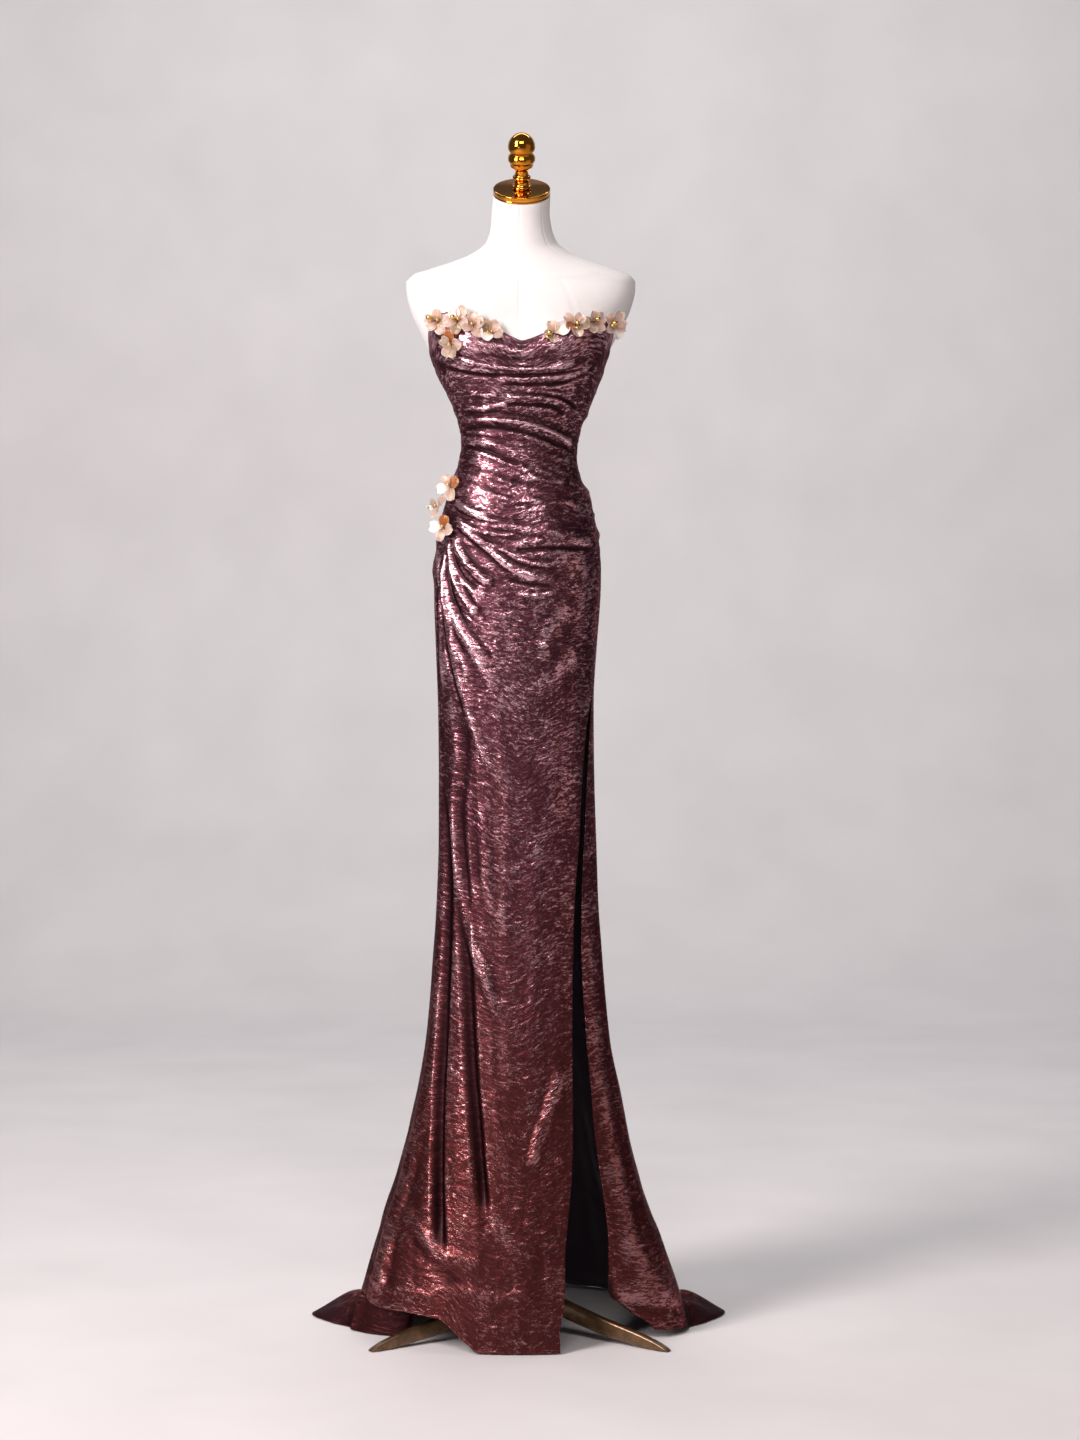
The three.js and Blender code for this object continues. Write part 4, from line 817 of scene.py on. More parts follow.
@dataclass(frozen=True)
class FoiledSatin:
    """Crushed satin with a metal foil print: bright broken flakes on a darker ground.

    The flakes differ in colour a little and in slope a lot, so that they glint where a light is mirrored and sink
    into the ground elsewhere. The real specks are finer, and are drawn at 2.2 mm so that they show.

    The colour holds painted light: it is pinker on top and redder and darker low down, a painted reflection of a
    warm floor; it has a painted shade in the folds' bottoms and on the train where it lies on the floor, and a painted
    highlight on the crests.
    """

    name: str = "foiled_crushed_satin"
    ground: str = "42242d"
    middle: str = "643a44"
    flake: str = "dbb0ba"
    # The low palette is redder and darker: a painted reflection of a warm floor, mixed in by height.
    low_ground: str = "461f20"
    low_middle: str = "582828"
    low_flake: str = "976a6c"
    fold_shade: str = "1d0b10"
    # train: a dark purple painted shade for the train where it lies on the floor.
    train: str = "351a22"
    swell: Layer = Layer(34, 15, 5, 1.5, 0.5, 0.4, 0.5)
    crush: Layer = Layer(13, 5, 1.6, 2.0, 0.5, 0.5, 0.45)
    speck: Layer = Layer(4.4, 2.2, 0.6, 2.0, 0.6, 0.6, 0.5)

    def build(self) -> bpy.types.Material:
        """The cloth's material, patterned on its own UV map in metres."""
        material, tree, shader = new_material(self.name)
        uv = add_node(tree, "UVMap", uv_map="cloth").outputs["UV"]
        relief = add_node(tree, "Attribute", attribute_name="relief").outputs["Fac"]
        laid = add_node(tree, "Attribute", attribute_name="laid").outputs["Fac"]
        noises, normal = [], {}
        for one in (self.swell, self.crush, self.speck):
            place = add_node(tree, "Mapping", {"Vector": uv, "Scale": (1 / (one.wide * MM), 1 / (one.tall * MM), 1)})
            noises.append(add_node(tree, "TexNoise", {
                "Vector": place.outputs[0], "Scale": 1.0, "Detail": one.detail, "Roughness": one.roughness,
                "Distortion": one.distortion,
            }, noise_dimensions="2D").outputs[0])
            bump = add_node(tree, "Bump", {
                "Height": noises[-1], "Strength": one.strength, "Distance": one.depth * MM, **normal,
            })
            normal = {"Normal": bump.outputs[0]}
        patch = add_node(tree, "TexNoise", {
            "Vector": uv, "Scale": 19.0, "Detail": 2.0, "Roughness": 0.5,
        }, noise_dimensions="2D")
        both = add_node(tree, "Math", {0: noises[1], 1: noises[2]}, operation="ADD")
        three = add_node(tree, "Math", {0: patch.outputs[0], 1: 0.5, 2: both.outputs[0]}, operation="MULTIPLY_ADD")
        flakes = add_node(tree, "MapRange", {"Value": three.outputs[0], "From Min": 0.93, "From Max": 1.62})
        # Painted highlight: the relief lifts the crests towards the bright flake colour.
        share = add_node(tree, "Math", {0: relief, 1: 0.36, 2: flakes.outputs[0]}, operation="MULTIPLY_ADD").outputs[0]
        low, high = (add_node(tree, "ValToRGB", {"Fac": share}, stops).outputs["Color"] for stops in (
            ((0.15, self.low_ground), (0.6, self.low_middle), (1.0, self.low_flake)),
            ((0.15, self.ground), (0.55, self.middle), (0.95, self.flake)),
        ))
        # Painted reflection of a warm floor: the low, redder and darker palette below 0.32 m turns to the pinker one by
        # 1.1 m.
        split = add_node(tree, "SeparateXYZ", {0: add_node(tree, "TexCoord").outputs["Object"]})
        height = add_node(tree, "MapRange", {"Value": split.outputs["Z"], "From Min": 0.32, "From Max": 1.1})
        # Painted shade: the folds' bottoms darken towards fold_shade.
        sunk = add_node(tree, "MapRange", {"Value": relief, "From Max": -1.0, "To Max": 0.78})
        # Mixed in turn: the pinker palette by height, the painted fold shade, and the train's dark purple painted
        # shade.
        colour = low
        for factor, over in ((height.outputs[0], high), (sunk.outputs[0], srgb(self.fold_shade)),
                             (laid, srgb(self.train))):
            colour = add_node(tree, "Mix", {0: factor, 6: colour, 7: over}, data_type="RGBA").outputs[2]
        rough = add_node(tree, "MapRange", {
            "Value": share, "From Min": 0.1, "From Max": 0.9, "To Min": 0.5, "To Max": 0.2,
        })
        matt = add_node(tree, "Mix", {0: laid, 2: rough.outputs[0], 3: 0.68})
        metal = add_node(tree, "MapRange", {"Value": laid, "To Min": 0.9, "To Max": 0.75})
        wire(tree, shader, {
            "Base Color": colour, "Roughness": matt.outputs[0], "Metallic": metal.outputs[0], **normal,
            "Specular Tint": srgb("9a6a70"), "Coat Weight": Coat.FAINT.value, "Coat Roughness": 0.32,
        })
        return material


@dataclass(frozen=True)
class SatinBack:
    """The plain wrong side of the satin: matt, dark and purple, with the weave's faint tooth."""

    name: str = "satin_wrong_side"
    colour: str = "3b2a3a"
    shade: str = "2f202e"

    def build(self) -> bpy.types.Material:
        """The wrong side's material."""
        material, tree, shader = new_material(self.name)
        place = add_node(tree, "TexCoord").outputs["Object"]
        tooth = add_node(tree, "TexNoise", {"Vector": place, "Scale": 900.0, "Detail": 2.0}).outputs[0]
        tone = add_node(tree, "ValToRGB", {"Fac": tooth}, ((0.3, self.shade), (0.7, self.colour)))
        bump = add_node(tree, "Bump", {"Height": tooth, "Strength": 0.3, "Distance": 0.0004})
        wire(tree, shader, {
            "Base Color": tone.outputs[0], "Normal": bump.outputs[0], "Roughness": 0.75, "Sheen Weight": 0.2,
        })
        return material


@dataclass(frozen=True)
class Jersey:
    """White stretch jersey over the form: dead matt, with knit loops 1.2 mm apart so that they just show."""

    name: str = "white_cotton_jersey"
    colour: str = "dfdedc"
    shade: str = "d6d5d4"
    loop: float = 1.2

    def build(self) -> bpy.types.Material:
        """The form's cover."""
        material, tree, shader = new_material(self.name)
        place = add_node(tree, "TexCoord").outputs["Object"]
        knit = add_node(tree, "TexNoise", {
            "Vector": place, "Scale": 1 / (self.loop * MM), "Detail": 2.0, "Roughness": 0.6,
        })
        cloud = add_node(tree, "TexNoise", {"Vector": place, "Scale": 9.0, "Detail": 3.0})
        tone = add_node(tree, "ValToRGB", {"Fac": cloud.outputs[0]}, ((0.3, self.shade), (0.65, self.colour)))
        bump = add_node(tree, "Bump", {"Height": knit.outputs[0], "Strength": 0.35, "Distance": 0.0005})
        wire(tree, shader, {
            "Base Color": tone.outputs[0], "Normal": bump.outputs[0], "Roughness": 0.82, "Sheen Weight": 0.15,
        })
        return material


@dataclass(frozen=True)
class Metal:
    """A metal or metallic lacquer: its colour carries the reflections, and fine marks break them."""

    name: str
    colour: str
    shade: str
    roughness: float
    metallic: float = 1.0
    grain: float = 90.0
    coat: Coat = Coat.NONE

    def build(self) -> bpy.types.Material:
        """The metal's material."""
        material, tree, shader = new_material(self.name)
        marks = add_node(tree, "TexNoise", {
            "Vector": add_node(tree, "TexCoord").outputs["Object"], "Scale": self.grain, "Detail": 5.0,
            "Roughness": 0.65,
        }).outputs[0]
        tone = add_node(tree, "ValToRGB", {"Fac": marks}, ((0.35, self.shade), (0.65, self.colour)))
        rough = add_node(tree, "MapRange", {
            "Value": marks, "From Min": 0.3, "From Max": 0.7,
            "To Min": self.roughness * 1.25, "To Max": self.roughness * 0.85,
        })
        bump = add_node(tree, "Bump", {"Height": marks, "Strength": 0.06, "Distance": 0.0004})
        wire(tree, shader, {
            "Base Color": tone.outputs[0], "Roughness": rough.outputs[0], "Normal": bump.outputs[0],
            "Metallic": self.metallic, "Coat Weight": self.coat.value,
        })
        return material


@dataclass(frozen=True)
class PetalFilm:
    """Moulded clear film tinted in the mass: glossy, half see-through, with veins that catch the light."""

    name: str
    colour: str
    deep: str
    rim: str = "f6e6da"
    clear: float = 0.5
    roughness: float = 0.14

    def build(self) -> bpy.types.Material:
        """The petal's material, with its veins along the petal's own UV map."""
        material, tree, shader = new_material(self.name)
        uv = add_node(tree, "UVMap", uv_map="petal").outputs["UV"]
        veins = add_node(tree, "TexWave", {
            "Vector": uv, "Scale": 4.6, "Distortion": 0.8, "Detail": 1.0, "Detail Scale": 1.4,
        }, wave_type="BANDS", bands_direction="X")
        along = add_node(tree, "SeparateXYZ", {0: uv}).outputs["Y"]
        tone = add_node(tree, "ValToRGB", {"Fac": along}, ((0.05, self.deep), (0.5, self.colour)))
        edge = add_node(tree, "Attribute", attribute_name="rim")
        rimmed = add_node(tree, "Mix", {
            0: edge.outputs["Fac"], 6: tone.outputs["Color"], 7: srgb(self.rim),
        }, data_type="RGBA")
        bump = add_node(tree, "Bump", {"Height": veins.outputs[0], "Strength": 0.5, "Distance": 0.0006})
        wire(tree, shader, {
            "Base Color": rimmed.outputs[2], "Normal": bump.outputs[0], "Roughness": self.roughness,
            "Transmission Weight": self.clear, "IOR": 1.49, "Coat Weight": Coat.THIN.value,
        })
        return material


@dataclass
class Dress:
    """The five panels of the dress and the closed zip at its back."""

    shape: DressShape
    wall: float = 1.5
    breaks: tuple[float, ...] = (TOP_ROW, 1400.0, 1180.0, TAIL_TOP)
    tail_rows: int = 12
    smooth_passes: int = 10
    relief_scale: float = 1.1
    deepest: float = 8.0
    highest: float = 11.0
    slit_soft: float = 22.0
    zip_rows: tuple[float, float, float] = (1634.0, 1208.0, -4.0)
    zip_half: float = 3.5
    zip_foot: float = 0.2
    zip_crown: float = 1.1
    zip_fall: float = 0.7
    outside: bpy.types.Material = field(default_factory=lambda: FoiledSatin().build())
    inside: bpy.types.Material = field(default_factory=lambda: SatinBack().build())

    def rows(self, fine: float) -> Array:
        """Rows from the top to the tail's tip, in steps of fine millimetres in the bodice that grow below it."""
        top, waist, hip, tail = self.breaks
        return np.concatenate([
            np.arange(top, waist, -fine), np.arange(waist, hip, -1.25 * fine), np.arange(hip, tail, -4 * fine),
            np.linspace(tail, 0, self.tail_rows),
        ])

    def cloth(
        self, node: str, edges: Callable[[Array], tuple[Array, Array]], panel: Panel, columns: int, fine: float,
        light: Callable[[Array, Array], Array] = zero,
    ) -> bpy.types.Object:
        """A panel as a thin closed shell between two edges.

        Args:
            node: the CAD node it stands for; the piece is named after it.
            edges: gives the two edges' angles by row.
            panel: the panel's hem and inset.
            columns: number of columns.
            fine: height of a step in the bodice.
            light: by angle and row, how much brighter or darker the cloth is than its relief makes it.

        Returns:
            The piece.
        """
        rows = self.rows(fine)
        low, high = edges(rows)
        angle = low[:, None] + (high - low)[:, None] * np.linspace(0, 1, columns)[None, :]
        row = np.broadcast_to(rows[:, None], angle.shape)
        outer = self.shape.point(angle, row, panel)
        inward = -grid_normals(outer)
        # The relief is the mask of the painted shade in the folds and the painted highlight on the crests.
        relief = np.clip(self.relief(angle, outer, -inward) + light(angle, row), -1, 1)
        piece = self.shell(node.replace("dress", "cloth"), node, outer, outer + self.wall * inward, angle, row, relief)
        LOG.info("%s: %.3f square metres", piece.name, self.area(outer))
        return piece

    @staticmethod
    def area(points: Array) -> float:
        """Area of a grid in square metres: half the cross products of its cells' diagonals."""
        first = points[1:, 1:] - points[:-1, :-1]
        second = points[1:, :-1] - points[:-1, 1:]
        return float(np.linalg.norm(np.cross(first, second), axis=-1).sum() / 2) * MM * MM

    def relief(self, angle: Array, outer: Array, outward: Array) -> Array:
        """How far each point of a grid stands out from its smoothed neighbourhood.

        The smoothed grid is the grid after many averages of neighbours with weights 1, 2, 1, once down the columns
        and twice along the rows.

        Args:
            angle: angles of the grid.
            outer: the grid.
            outward: unit directions square to it.

        Returns:
            The height over the smoothed grid, from -1 in the folds' bottoms to 1 on their crests. It counts for
            less down the skirt, where the folds' own rise takes over.
        """
        smooth = outer.copy()
        for _ in range(self.smooth_passes):
            smooth[1:-1] = (smooth[:-2] + 2 * smooth[1:-1] + smooth[2:]) / 4
            for _ in range(2):
                smooth[:, 1:-1] = (smooth[:, :-2] + 2 * smooth[:, 1:-1] + smooth[:, 2:]) / 4
        height = ((outer - smooth) * outward).sum(axis=-1)
        height = (height - np.median(height)) / self.relief_scale
        z = outer[..., 2]
        low = fade(z, 1250, 1000)
        rise = self.shape.rise(self.shape.main_folds + self.shape.creases, angle, z) * fade(z, 20, 90)
        broad = rise / np.where(rise < 0, self.deepest, self.highest)
        return np.clip(height * (1 - 0.72 * low) + broad * low, -1, 1)

    def shell(
        self, name: str, node: str, outer: Array, inner: Array, angle: Array, row: Array, relief: Array,
    ) -> bpy.types.Object:
        """A closed wall between two grids, with a UV map in metres, its masks and its right and wrong sides.

        Lines of even v hang across the front, by slope (sqrt(s^2 + bend^2) - bend) with s the place across, which
        levels off at the sides, and they stray a little.

        Args:
            name: the piece's name.
            node: the CAD node that it stands for.
            outer: the right side's grid.
            inner: the wrong side's grid.
            angle: angles of the grid.
            row: rows of the grid.
            relief: how far each point stands out of its neighbourhood.

        Returns:
            The piece.
        """
        points = np.concatenate([outer.reshape(-1, 3), inner.reshape(-1, 3)])
        piece = make_piece(name, points, [shell_faces(*angle.shape)], "foil_cloth", node)
        u = np.radians(angle) * self.shape.girth(np.clip(row, 0, 1700)) * MM
        middle = 16 * np.sin(row / 130) + 9 * np.sin(row / 57 + 1)
        sides, bend = 90, 26
        across = sides * np.tanh((u / MM - middle) / sides)
        slope = 0.22 + 0.42 * fade(row, 1150, 950) * (1 - fade(row, 420, 160))
        stray = 7 * lattice_noise(u / MM / 55, row / 70, Lattice.STRAY)
        level = row - slope * (np.hypot(across, bend) - bend) + stray
        uv = np.stack([u, level * MM], axis=-1).reshape(-1, 2)
        # Where the train lies on the floor at the sides and back: the material gives it a dark purple painted shade,
        # and makes it more matt and less metallic.
        laid = fade(row, 26, 8) * fade(np.abs(angle), 92, 100)
        mark(piece.data, "cloth", np.vstack([uv, uv]), laid=np.tile(laid.ravel(), 2), relief=np.tile(relief.ravel(), 2))
        for material in (self.outside, self.inside):
            piece.data.materials.append(material)
        count = (angle.shape[0] - 1) * (angle.shape[1] - 1)
        index = np.zeros(len(piece.data.polygons), np.int32)
        index[count:2 * count] = 1
        piece.data.polygons.foreach_set("material_index", index)
        return piece

    def half_gap(self, row: Array) -> Array:
        """Half the seam gap as an angle at each row."""
        return np.degrees(SEAM_GAP / 2 / self.shape.girth(np.clip(row, 0, TOP_ROW)))

    def front(self) -> bpy.types.Object:
        """The draped front, from the left side seam to the slit's edge."""
        def edges(row: Array) -> tuple[Array, Array]:
            """The left side seam and the slit's near edge."""
            return -SIDE_SEAM + self.half_gap(row), self.shape.slit_front(row) - self.half_gap(row)

        def light(angle: Array, row: Array) -> Array:
            """A painted highlight along the rolled edge of the raised corner."""
            return 0.9 * fade(row, 0, 5) * fade(row, 26, 12) * fade(angle, -50, -62)

        return self.cloth("dress_front", edges, Panel(self.shape.front_hem), columns=148, fine=2.25,
                          light=light)

    def left(self) -> bpy.types.Object:
        """The left side panel, drawn in and reaching forward under the front's raised corner."""
        lap = UNDERLAP

        def inset(angle: Array, z: Array) -> Array:
            """How far the lap lies in: a step at its near end, then ever more, down to the floor."""
            reach = np.clip((angle + SIDE_SEAM + lap["lead"]) / (lap["reach"] + lap["lead"]), 0, 1)
            depth = np.where(reach > 0, lap["near"] * fade(reach, 0, 0.16) + lap["far"] * reach**1.3, 0)
            return depth * (1 - fade(z, lap["flat"], lap["drawn"]))

        def edges(row: Array) -> tuple[Array, Array]:
            """The back seam, and the side seam with the lap past it."""
            lead = lap["reach"] * (1 - fade(row, lap["full"], lap["from"]))
            return -BACK_SEAM + self.half_gap(row), -SIDE_SEAM - self.half_gap(row) + lead

        def light(angle: Array, row: Array) -> Array:
            """The shade under the front's raised corner."""
            return -1.1 * fade(angle, -SIDE_SEAM - 8, -SIDE_SEAM + 2) * fade(row, 150, 90)

        panel = Panel(self.shape.hem_lift, self.shape.hem_run, inset)
        return self.cloth("dress_left_side", edges, panel, columns=56, fine=3.0, light=light)

    def right(self) -> bpy.types.Object:
        """The right side panel, whose front edge is the far side of the slit."""
        shape = self.shape
        corner = shape.side_hem(shape.slit_side(0))

        def inset(angle: Array, z: Array) -> Array:
            """The inset of the free edge, which fades out along the panel."""
            return shape.slit_inset(z) * (1 - fade(angle - shape.slit_side(z), 0, self.slit_soft))

        def edges(row: Array) -> tuple[Array, Array]:
            """The slit's far edge and the back seam."""
            start = shape.slit_side(row + shape.hem_shift(row, corner)) + self.half_gap(row)
            return start, BACK_SEAM - self.half_gap(row)

        panel = Panel(shape.side_hem, shape.hem_run, inset)
        return self.cloth("dress_right_side", edges, panel, columns=64, fine=3.0)

    def back(self, node: str, low: float, high: float) -> bpy.types.Object:
        """One half of the back with its half of the train."""
        def edges(row: Array) -> tuple[Array, Array]:
            """The two seams."""
            return low + self.half_gap(row), high - self.half_gap(row)

        panel = Panel(self.shape.hem_lift, self.shape.hem_run)
        return self.cloth(node, edges, panel, columns=60, fine=3.0)

    def zip(self) -> bpy.types.Object:
        """The closed zip's strip on the centre back seam, a shallow ridge across its width."""
        across, row = np.meshgrid(np.linspace(-self.zip_half, self.zip_half, 9), np.arange(*self.zip_rows))
        angle = 180 + np.degrees(across / self.shape.girth(row))
        skin = self.shape.point(angle, row, Panel(self.shape.hem_lift, self.shape.hem_run))
        normal = grid_normals(skin)
        crown = self.zip_crown - self.zip_fall * (across[..., None] / self.zip_half) ** 2
        outer, inner = skin + normal * (self.zip_foot + crown), skin + normal * self.zip_foot
        return self.shell("zip_strip", "back_zip", outer, inner, angle, row, np.zeros_like(angle))

    def build(self) -> list[bpy.types.Object]:
        """Builds every panel and the zip."""
        sheets = (
            (self.front(), (0.56, 1.68), 0.510, []),
            (self.left(), (0.33, 1.70), 0.224, []),
            (self.right(), (0.46, 1.70), 0.266, []),
            (self.back("dress_back_left", -180, -BACK_SEAM), (0.29, 1.68), 0.211, [self.zip()]),
            (self.back("dress_back_right", BACK_SEAM, 180), (0.29, 1.68), 0.210, []),
        )
        return [piece for piece, *_ in sheets]


@dataclass
class DressForm:
    """The limbless form: a smooth jersey-covered torso with seams, and the gilt cap and finial on its neck."""

    shape: DressShape
    sides: int = 192
    turned_sides: int = 96
    cap_thick: float = 11.0
    cap_edge: float = 1.4
    gap: Table = field(default_factory=lambda: Table(*zip(*FORM_GAP)))
    gilt: bpy.types.Material = field(
        default_factory=lambda: Metal("polished_gilt", "e09a3a", "c47c24", 0.09, grain=40.0).build())

    def torso_rings(self, angle: Array) -> Array:
        """Rings of the torso from its foot to the neck.

        Below the shoulders a ring is the dress's section drawn in by the gap. Above, it is an ellipse tipped
        forward. Rings between the tables' rows are blended by a smooth curve along the stack.

        Args:
            angle: the angles of a ring's points.

        Returns:
            The rings, one a row.
        """
        stack = []
        heights = [(FORM_FOOT + up, shrink) for up, shrink in FORM_FOOT_ROUND]
        heights += [(z, 1.0) for z in [*np.arange(FORM_FOOT + 28, FORM_TOP - 2, 8.0), FORM_TOP]]
        for z, shrink in heights:
            level = np.full_like(angle, z)
            x, y, nx, ny = self.shape.ring(angle, level, self.gap(level), FORM_ROUNDER)
            rise = self.shape.bust(angle, level)
            stack.append(np.stack([(x + nx * rise) * shrink, (y + ny * rise) * shrink, level], axis=-1))
        keys = [float(row[0]) for row in NECK]
        columns = [Table(keys, [row[i] for row in NECK]) for i in range(1, 7)]
        sine, cosine = np.sin(np.radians(angle)), np.cos(np.radians(angle))
        for z in [*np.arange(keys[0], keys[-1], 3.0), keys[-1]]:
            shift, left, right, front, back, tilt = (float(column(z)) for column in columns)
            across = np.where(sine < 0, left, right) * sine
            deep = np.where(cosine > 0, front, back) * cosine
            lean = math.radians(tilt)
            stack.append(np.stack([across, shift - deep * math.cos(lean), z - deep * math.sin(lean)], axis=-1))
        return np.array(stack)

    def torso(self) -> bpy.types.Object:
        """The torso, with narrow sunk seams down the front, the back and both sides."""
        angle = np.linspace(-180, 180, self.sides, endpoint=False)
        rings = self.torso_rings(angle)
        across = np.roll(rings, -1, axis=1) - np.roll(rings, 1, axis=1)
        normal = unit(np.cross(across, np.gradient(rings, axis=0)))
        sunk = np.zeros(self.sides)
        for place, deep in FORM_SEAMS:
            sunk[np.argmin(np.abs(angle - place))] = deep
        rings = rings - normal * sunk[None, :, None]
        ends = np.array([rings[0].mean(axis=0), rings[-1].mean(axis=0)])
        piece = make_piece("dress_form", *capped(rings, ends, flip=True), "form_cover", "form_torso")
        piece.data.materials.append(Jersey().build())
        return piece

    def turned(self, name: str, profile: Array, lift: float, node: str) -> bpy.types.Object:
        """A turned gilt piece on the neck's tipped axis.

        Args:
            name: the piece's name.
            profile: (radius, height) rows that start and end on the axis.
            lift: how far up the axis its foot stands.
            node: the CAD node that it stands for.

        Returns:
            The piece.
        """
        lean = math.radians(NECK_TILT)
        tip = np.array([[1, 0, 0], [0, math.cos(lean), -math.sin(lean)], [0, math.sin(lean), math.cos(lean)]])
        top = NECK[-1]
        seat = np.array([(top[3] - top[2]) / 2, top[1], top[0]]) + tip[:, 2] * lift
        around = np.linspace(0, 2 * math.pi, self.turned_sides, endpoint=False)
        radius, height = profile[1:-1, 0][:, None], profile[1:-1, 1][:, None]
        rings = np.stack([radius * np.cos(around), radius * np.sin(around), height + 0 * around], axis=-1)
        ends = np.array([[0, 0, profile[0, 1]], [0, 0, profile[-1, 1]]])
        piece = make_piece(name, *capped(rings @ tip.T + seat, ends @ tip.T + seat, flip=True), "gilt", node)
        piece.data.materials.append(self.gilt)
        return piece

    def build(self) -> list[bpy.types.Object]:
        """Builds the torso, the cap with its rounded edges and groove, and the finial."""
        thick, edge = self.cap_thick, self.cap_edge
        corner = np.linspace(0, math.pi / 2, 7)
        low = [(NECK_RADIUS - edge + edge * math.sin(t), edge - edge * math.cos(t)) for t in corner]
        high = [(NECK_RADIUS - edge + edge * math.cos(t), thick - edge + edge * math.sin(t)) for t in corner]
        groove = [(NECK_RADIUS - deep, z) for deep, z in CAP_GROOVE]
        cap = np.array([(0, 0), *low, *groove, *high, (0, thick)])
        finial = smooth_curve(np.array(FINIAL, float), 4)
        finial[:, 0] = np.maximum(finial[:, 0], 0)
        return [
            self.torso(),
            self.turned("gilt_cap", cap, SEAM_GAP, "neck_cap"),
            self.turned("gilt_finial", finial, thick + 2 * SEAM_GAP, "neck_finial"),
        ]


@dataclass
class Stand:
    """Pole, hub and three arched blade legs in bronze lacquer."""

    width: float = 15.0
    sides: int = 32
    corner_power: float = 0.42
    toe_width: float = 0.75
    lacquer: bpy.types.Material = field(default_factory=lambda: Metal(
        "bronze_lacquer", "7d5f43", "54402c", 0.34, metallic=0.75, grain=60.0, coat=Coat.THIN).build())

    def leg(self, name: str, heading: float) -> bpy.types.Object:
        """One blade: its outline's two edges along the reach, with a rounded section between them.

        The section is a superellipse: sine and cosine of the turn round it, each to a power below one.

        Args:
            name: the CAD node it stands for; the piece is named after it.
            heading: the leg's angle from +X in degrees.

        Returns:
            The leg.
        """
        upper, lower = (smooth_curve(np.array(edge, float), 8) for edge in (LEG_TOP, LEG_LOW))
        lower[:, 1] = np.maximum(lower[:, 1], 0)
        around = np.linspace(0, 2 * math.pi, self.sides, endpoint=False)
        side, tall = (np.sign(v) * np.abs(v) ** self.corner_power for v in (np.sin(around), np.cos(around)))
        middle, half = (upper + lower) / 2, (upper - lower) / 2
        rows = len(middle)
        narrow = np.interp(np.arange(rows), [0, rows - 6, rows - 1], [1, 1, self.toe_width])
        reach, height = (middle[:, i, None] + half[:, i, None] * tall for i in (0, 1))
        across = self.width / 2 * narrow[:, None] * side
        turn = math.radians(heading)
        x = reach * math.cos(turn) - across * math.sin(turn)
        y = reach * math.sin(turn) + across * math.cos(turn)
        rings = np.stack([x, y, height], axis=-1)
        ends = np.array([rings[0].mean(axis=0), rings[-1].mean(axis=0)])
        piece = make_piece("stand_" + name, *capped(rings, ends, flip=False), "stand_bronze", name)
        piece.data.materials.append(self.lacquer)
        return piece

    def build(self) -> list[bpy.types.Object]:
        """Builds the legs, and gives the pole and the hub their lacquer."""
        for node in ("stand_pole", "stand_hub"):
            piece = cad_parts[node]
            piece.data.materials.clear()
            piece.data.materials.append(self.lacquer)
        headings = {"leg_left": 180 + LEG_FORWARD, "leg_right": -LEG_FORWARD, "leg_back": 90.0}
        return [self.leg(name, heading) for name, heading in headings.items()]


class PetalKind(Enum):
    """The petals' tints, each with its letter."""

    CHAMPAGNE = "c"
    AMBER = "a"
    PEARL = "p"
    OLIVE = "o"


@dataclass(frozen=True)
class Petal:
    """One petal of a flower: which way it points round the flower, how it leans, its size and its tint."""

    turn: float
    lean: float
    length: float
    width: float
    kind: PetalKind


@dataclass(frozen=True)
class Flower:
    """A flower: the CAD node it stands for, where it is seen, its petals and its beads.

    facing is how far its axis is turned from the cloth's outward direction to the front, from 0 to 1.
    """

    node: str
    x: float
    z: float
    petals: tuple[Petal, ...]
    beads: tuple[tuple[float, float, float, float], ...]
    facing: float = 0.0


def petals(kinds: str, length: float, turn: float, lean: float = 24.0) -> tuple[Petal, ...]:
    """Petals evenly round a flower, one for each letter of kinds, with sizes that differ a little.

    Args:
        kinds: the letter of each petal's tint, as in PetalKind.
        length: mean length in millimetres.
        turn: direction of the first petal in degrees.
        lean: rise of the petals over the cloth in degrees.

    Returns:
        The petals.
    """
    made = []
    for i, letter in enumerate(kinds):
        stray = math.sin(2.3 * i + turn)
        made.append(Petal(turn + 360 * i / len(kinds) + 9 * stray, lean + 8 * math.cos(3.1 * i + turn),
                          length * (1 + 0.1 * stray), length * (0.86 + 0.08 * math.cos(1.7 * i)), PetalKind(letter)))
    return tuple(made)


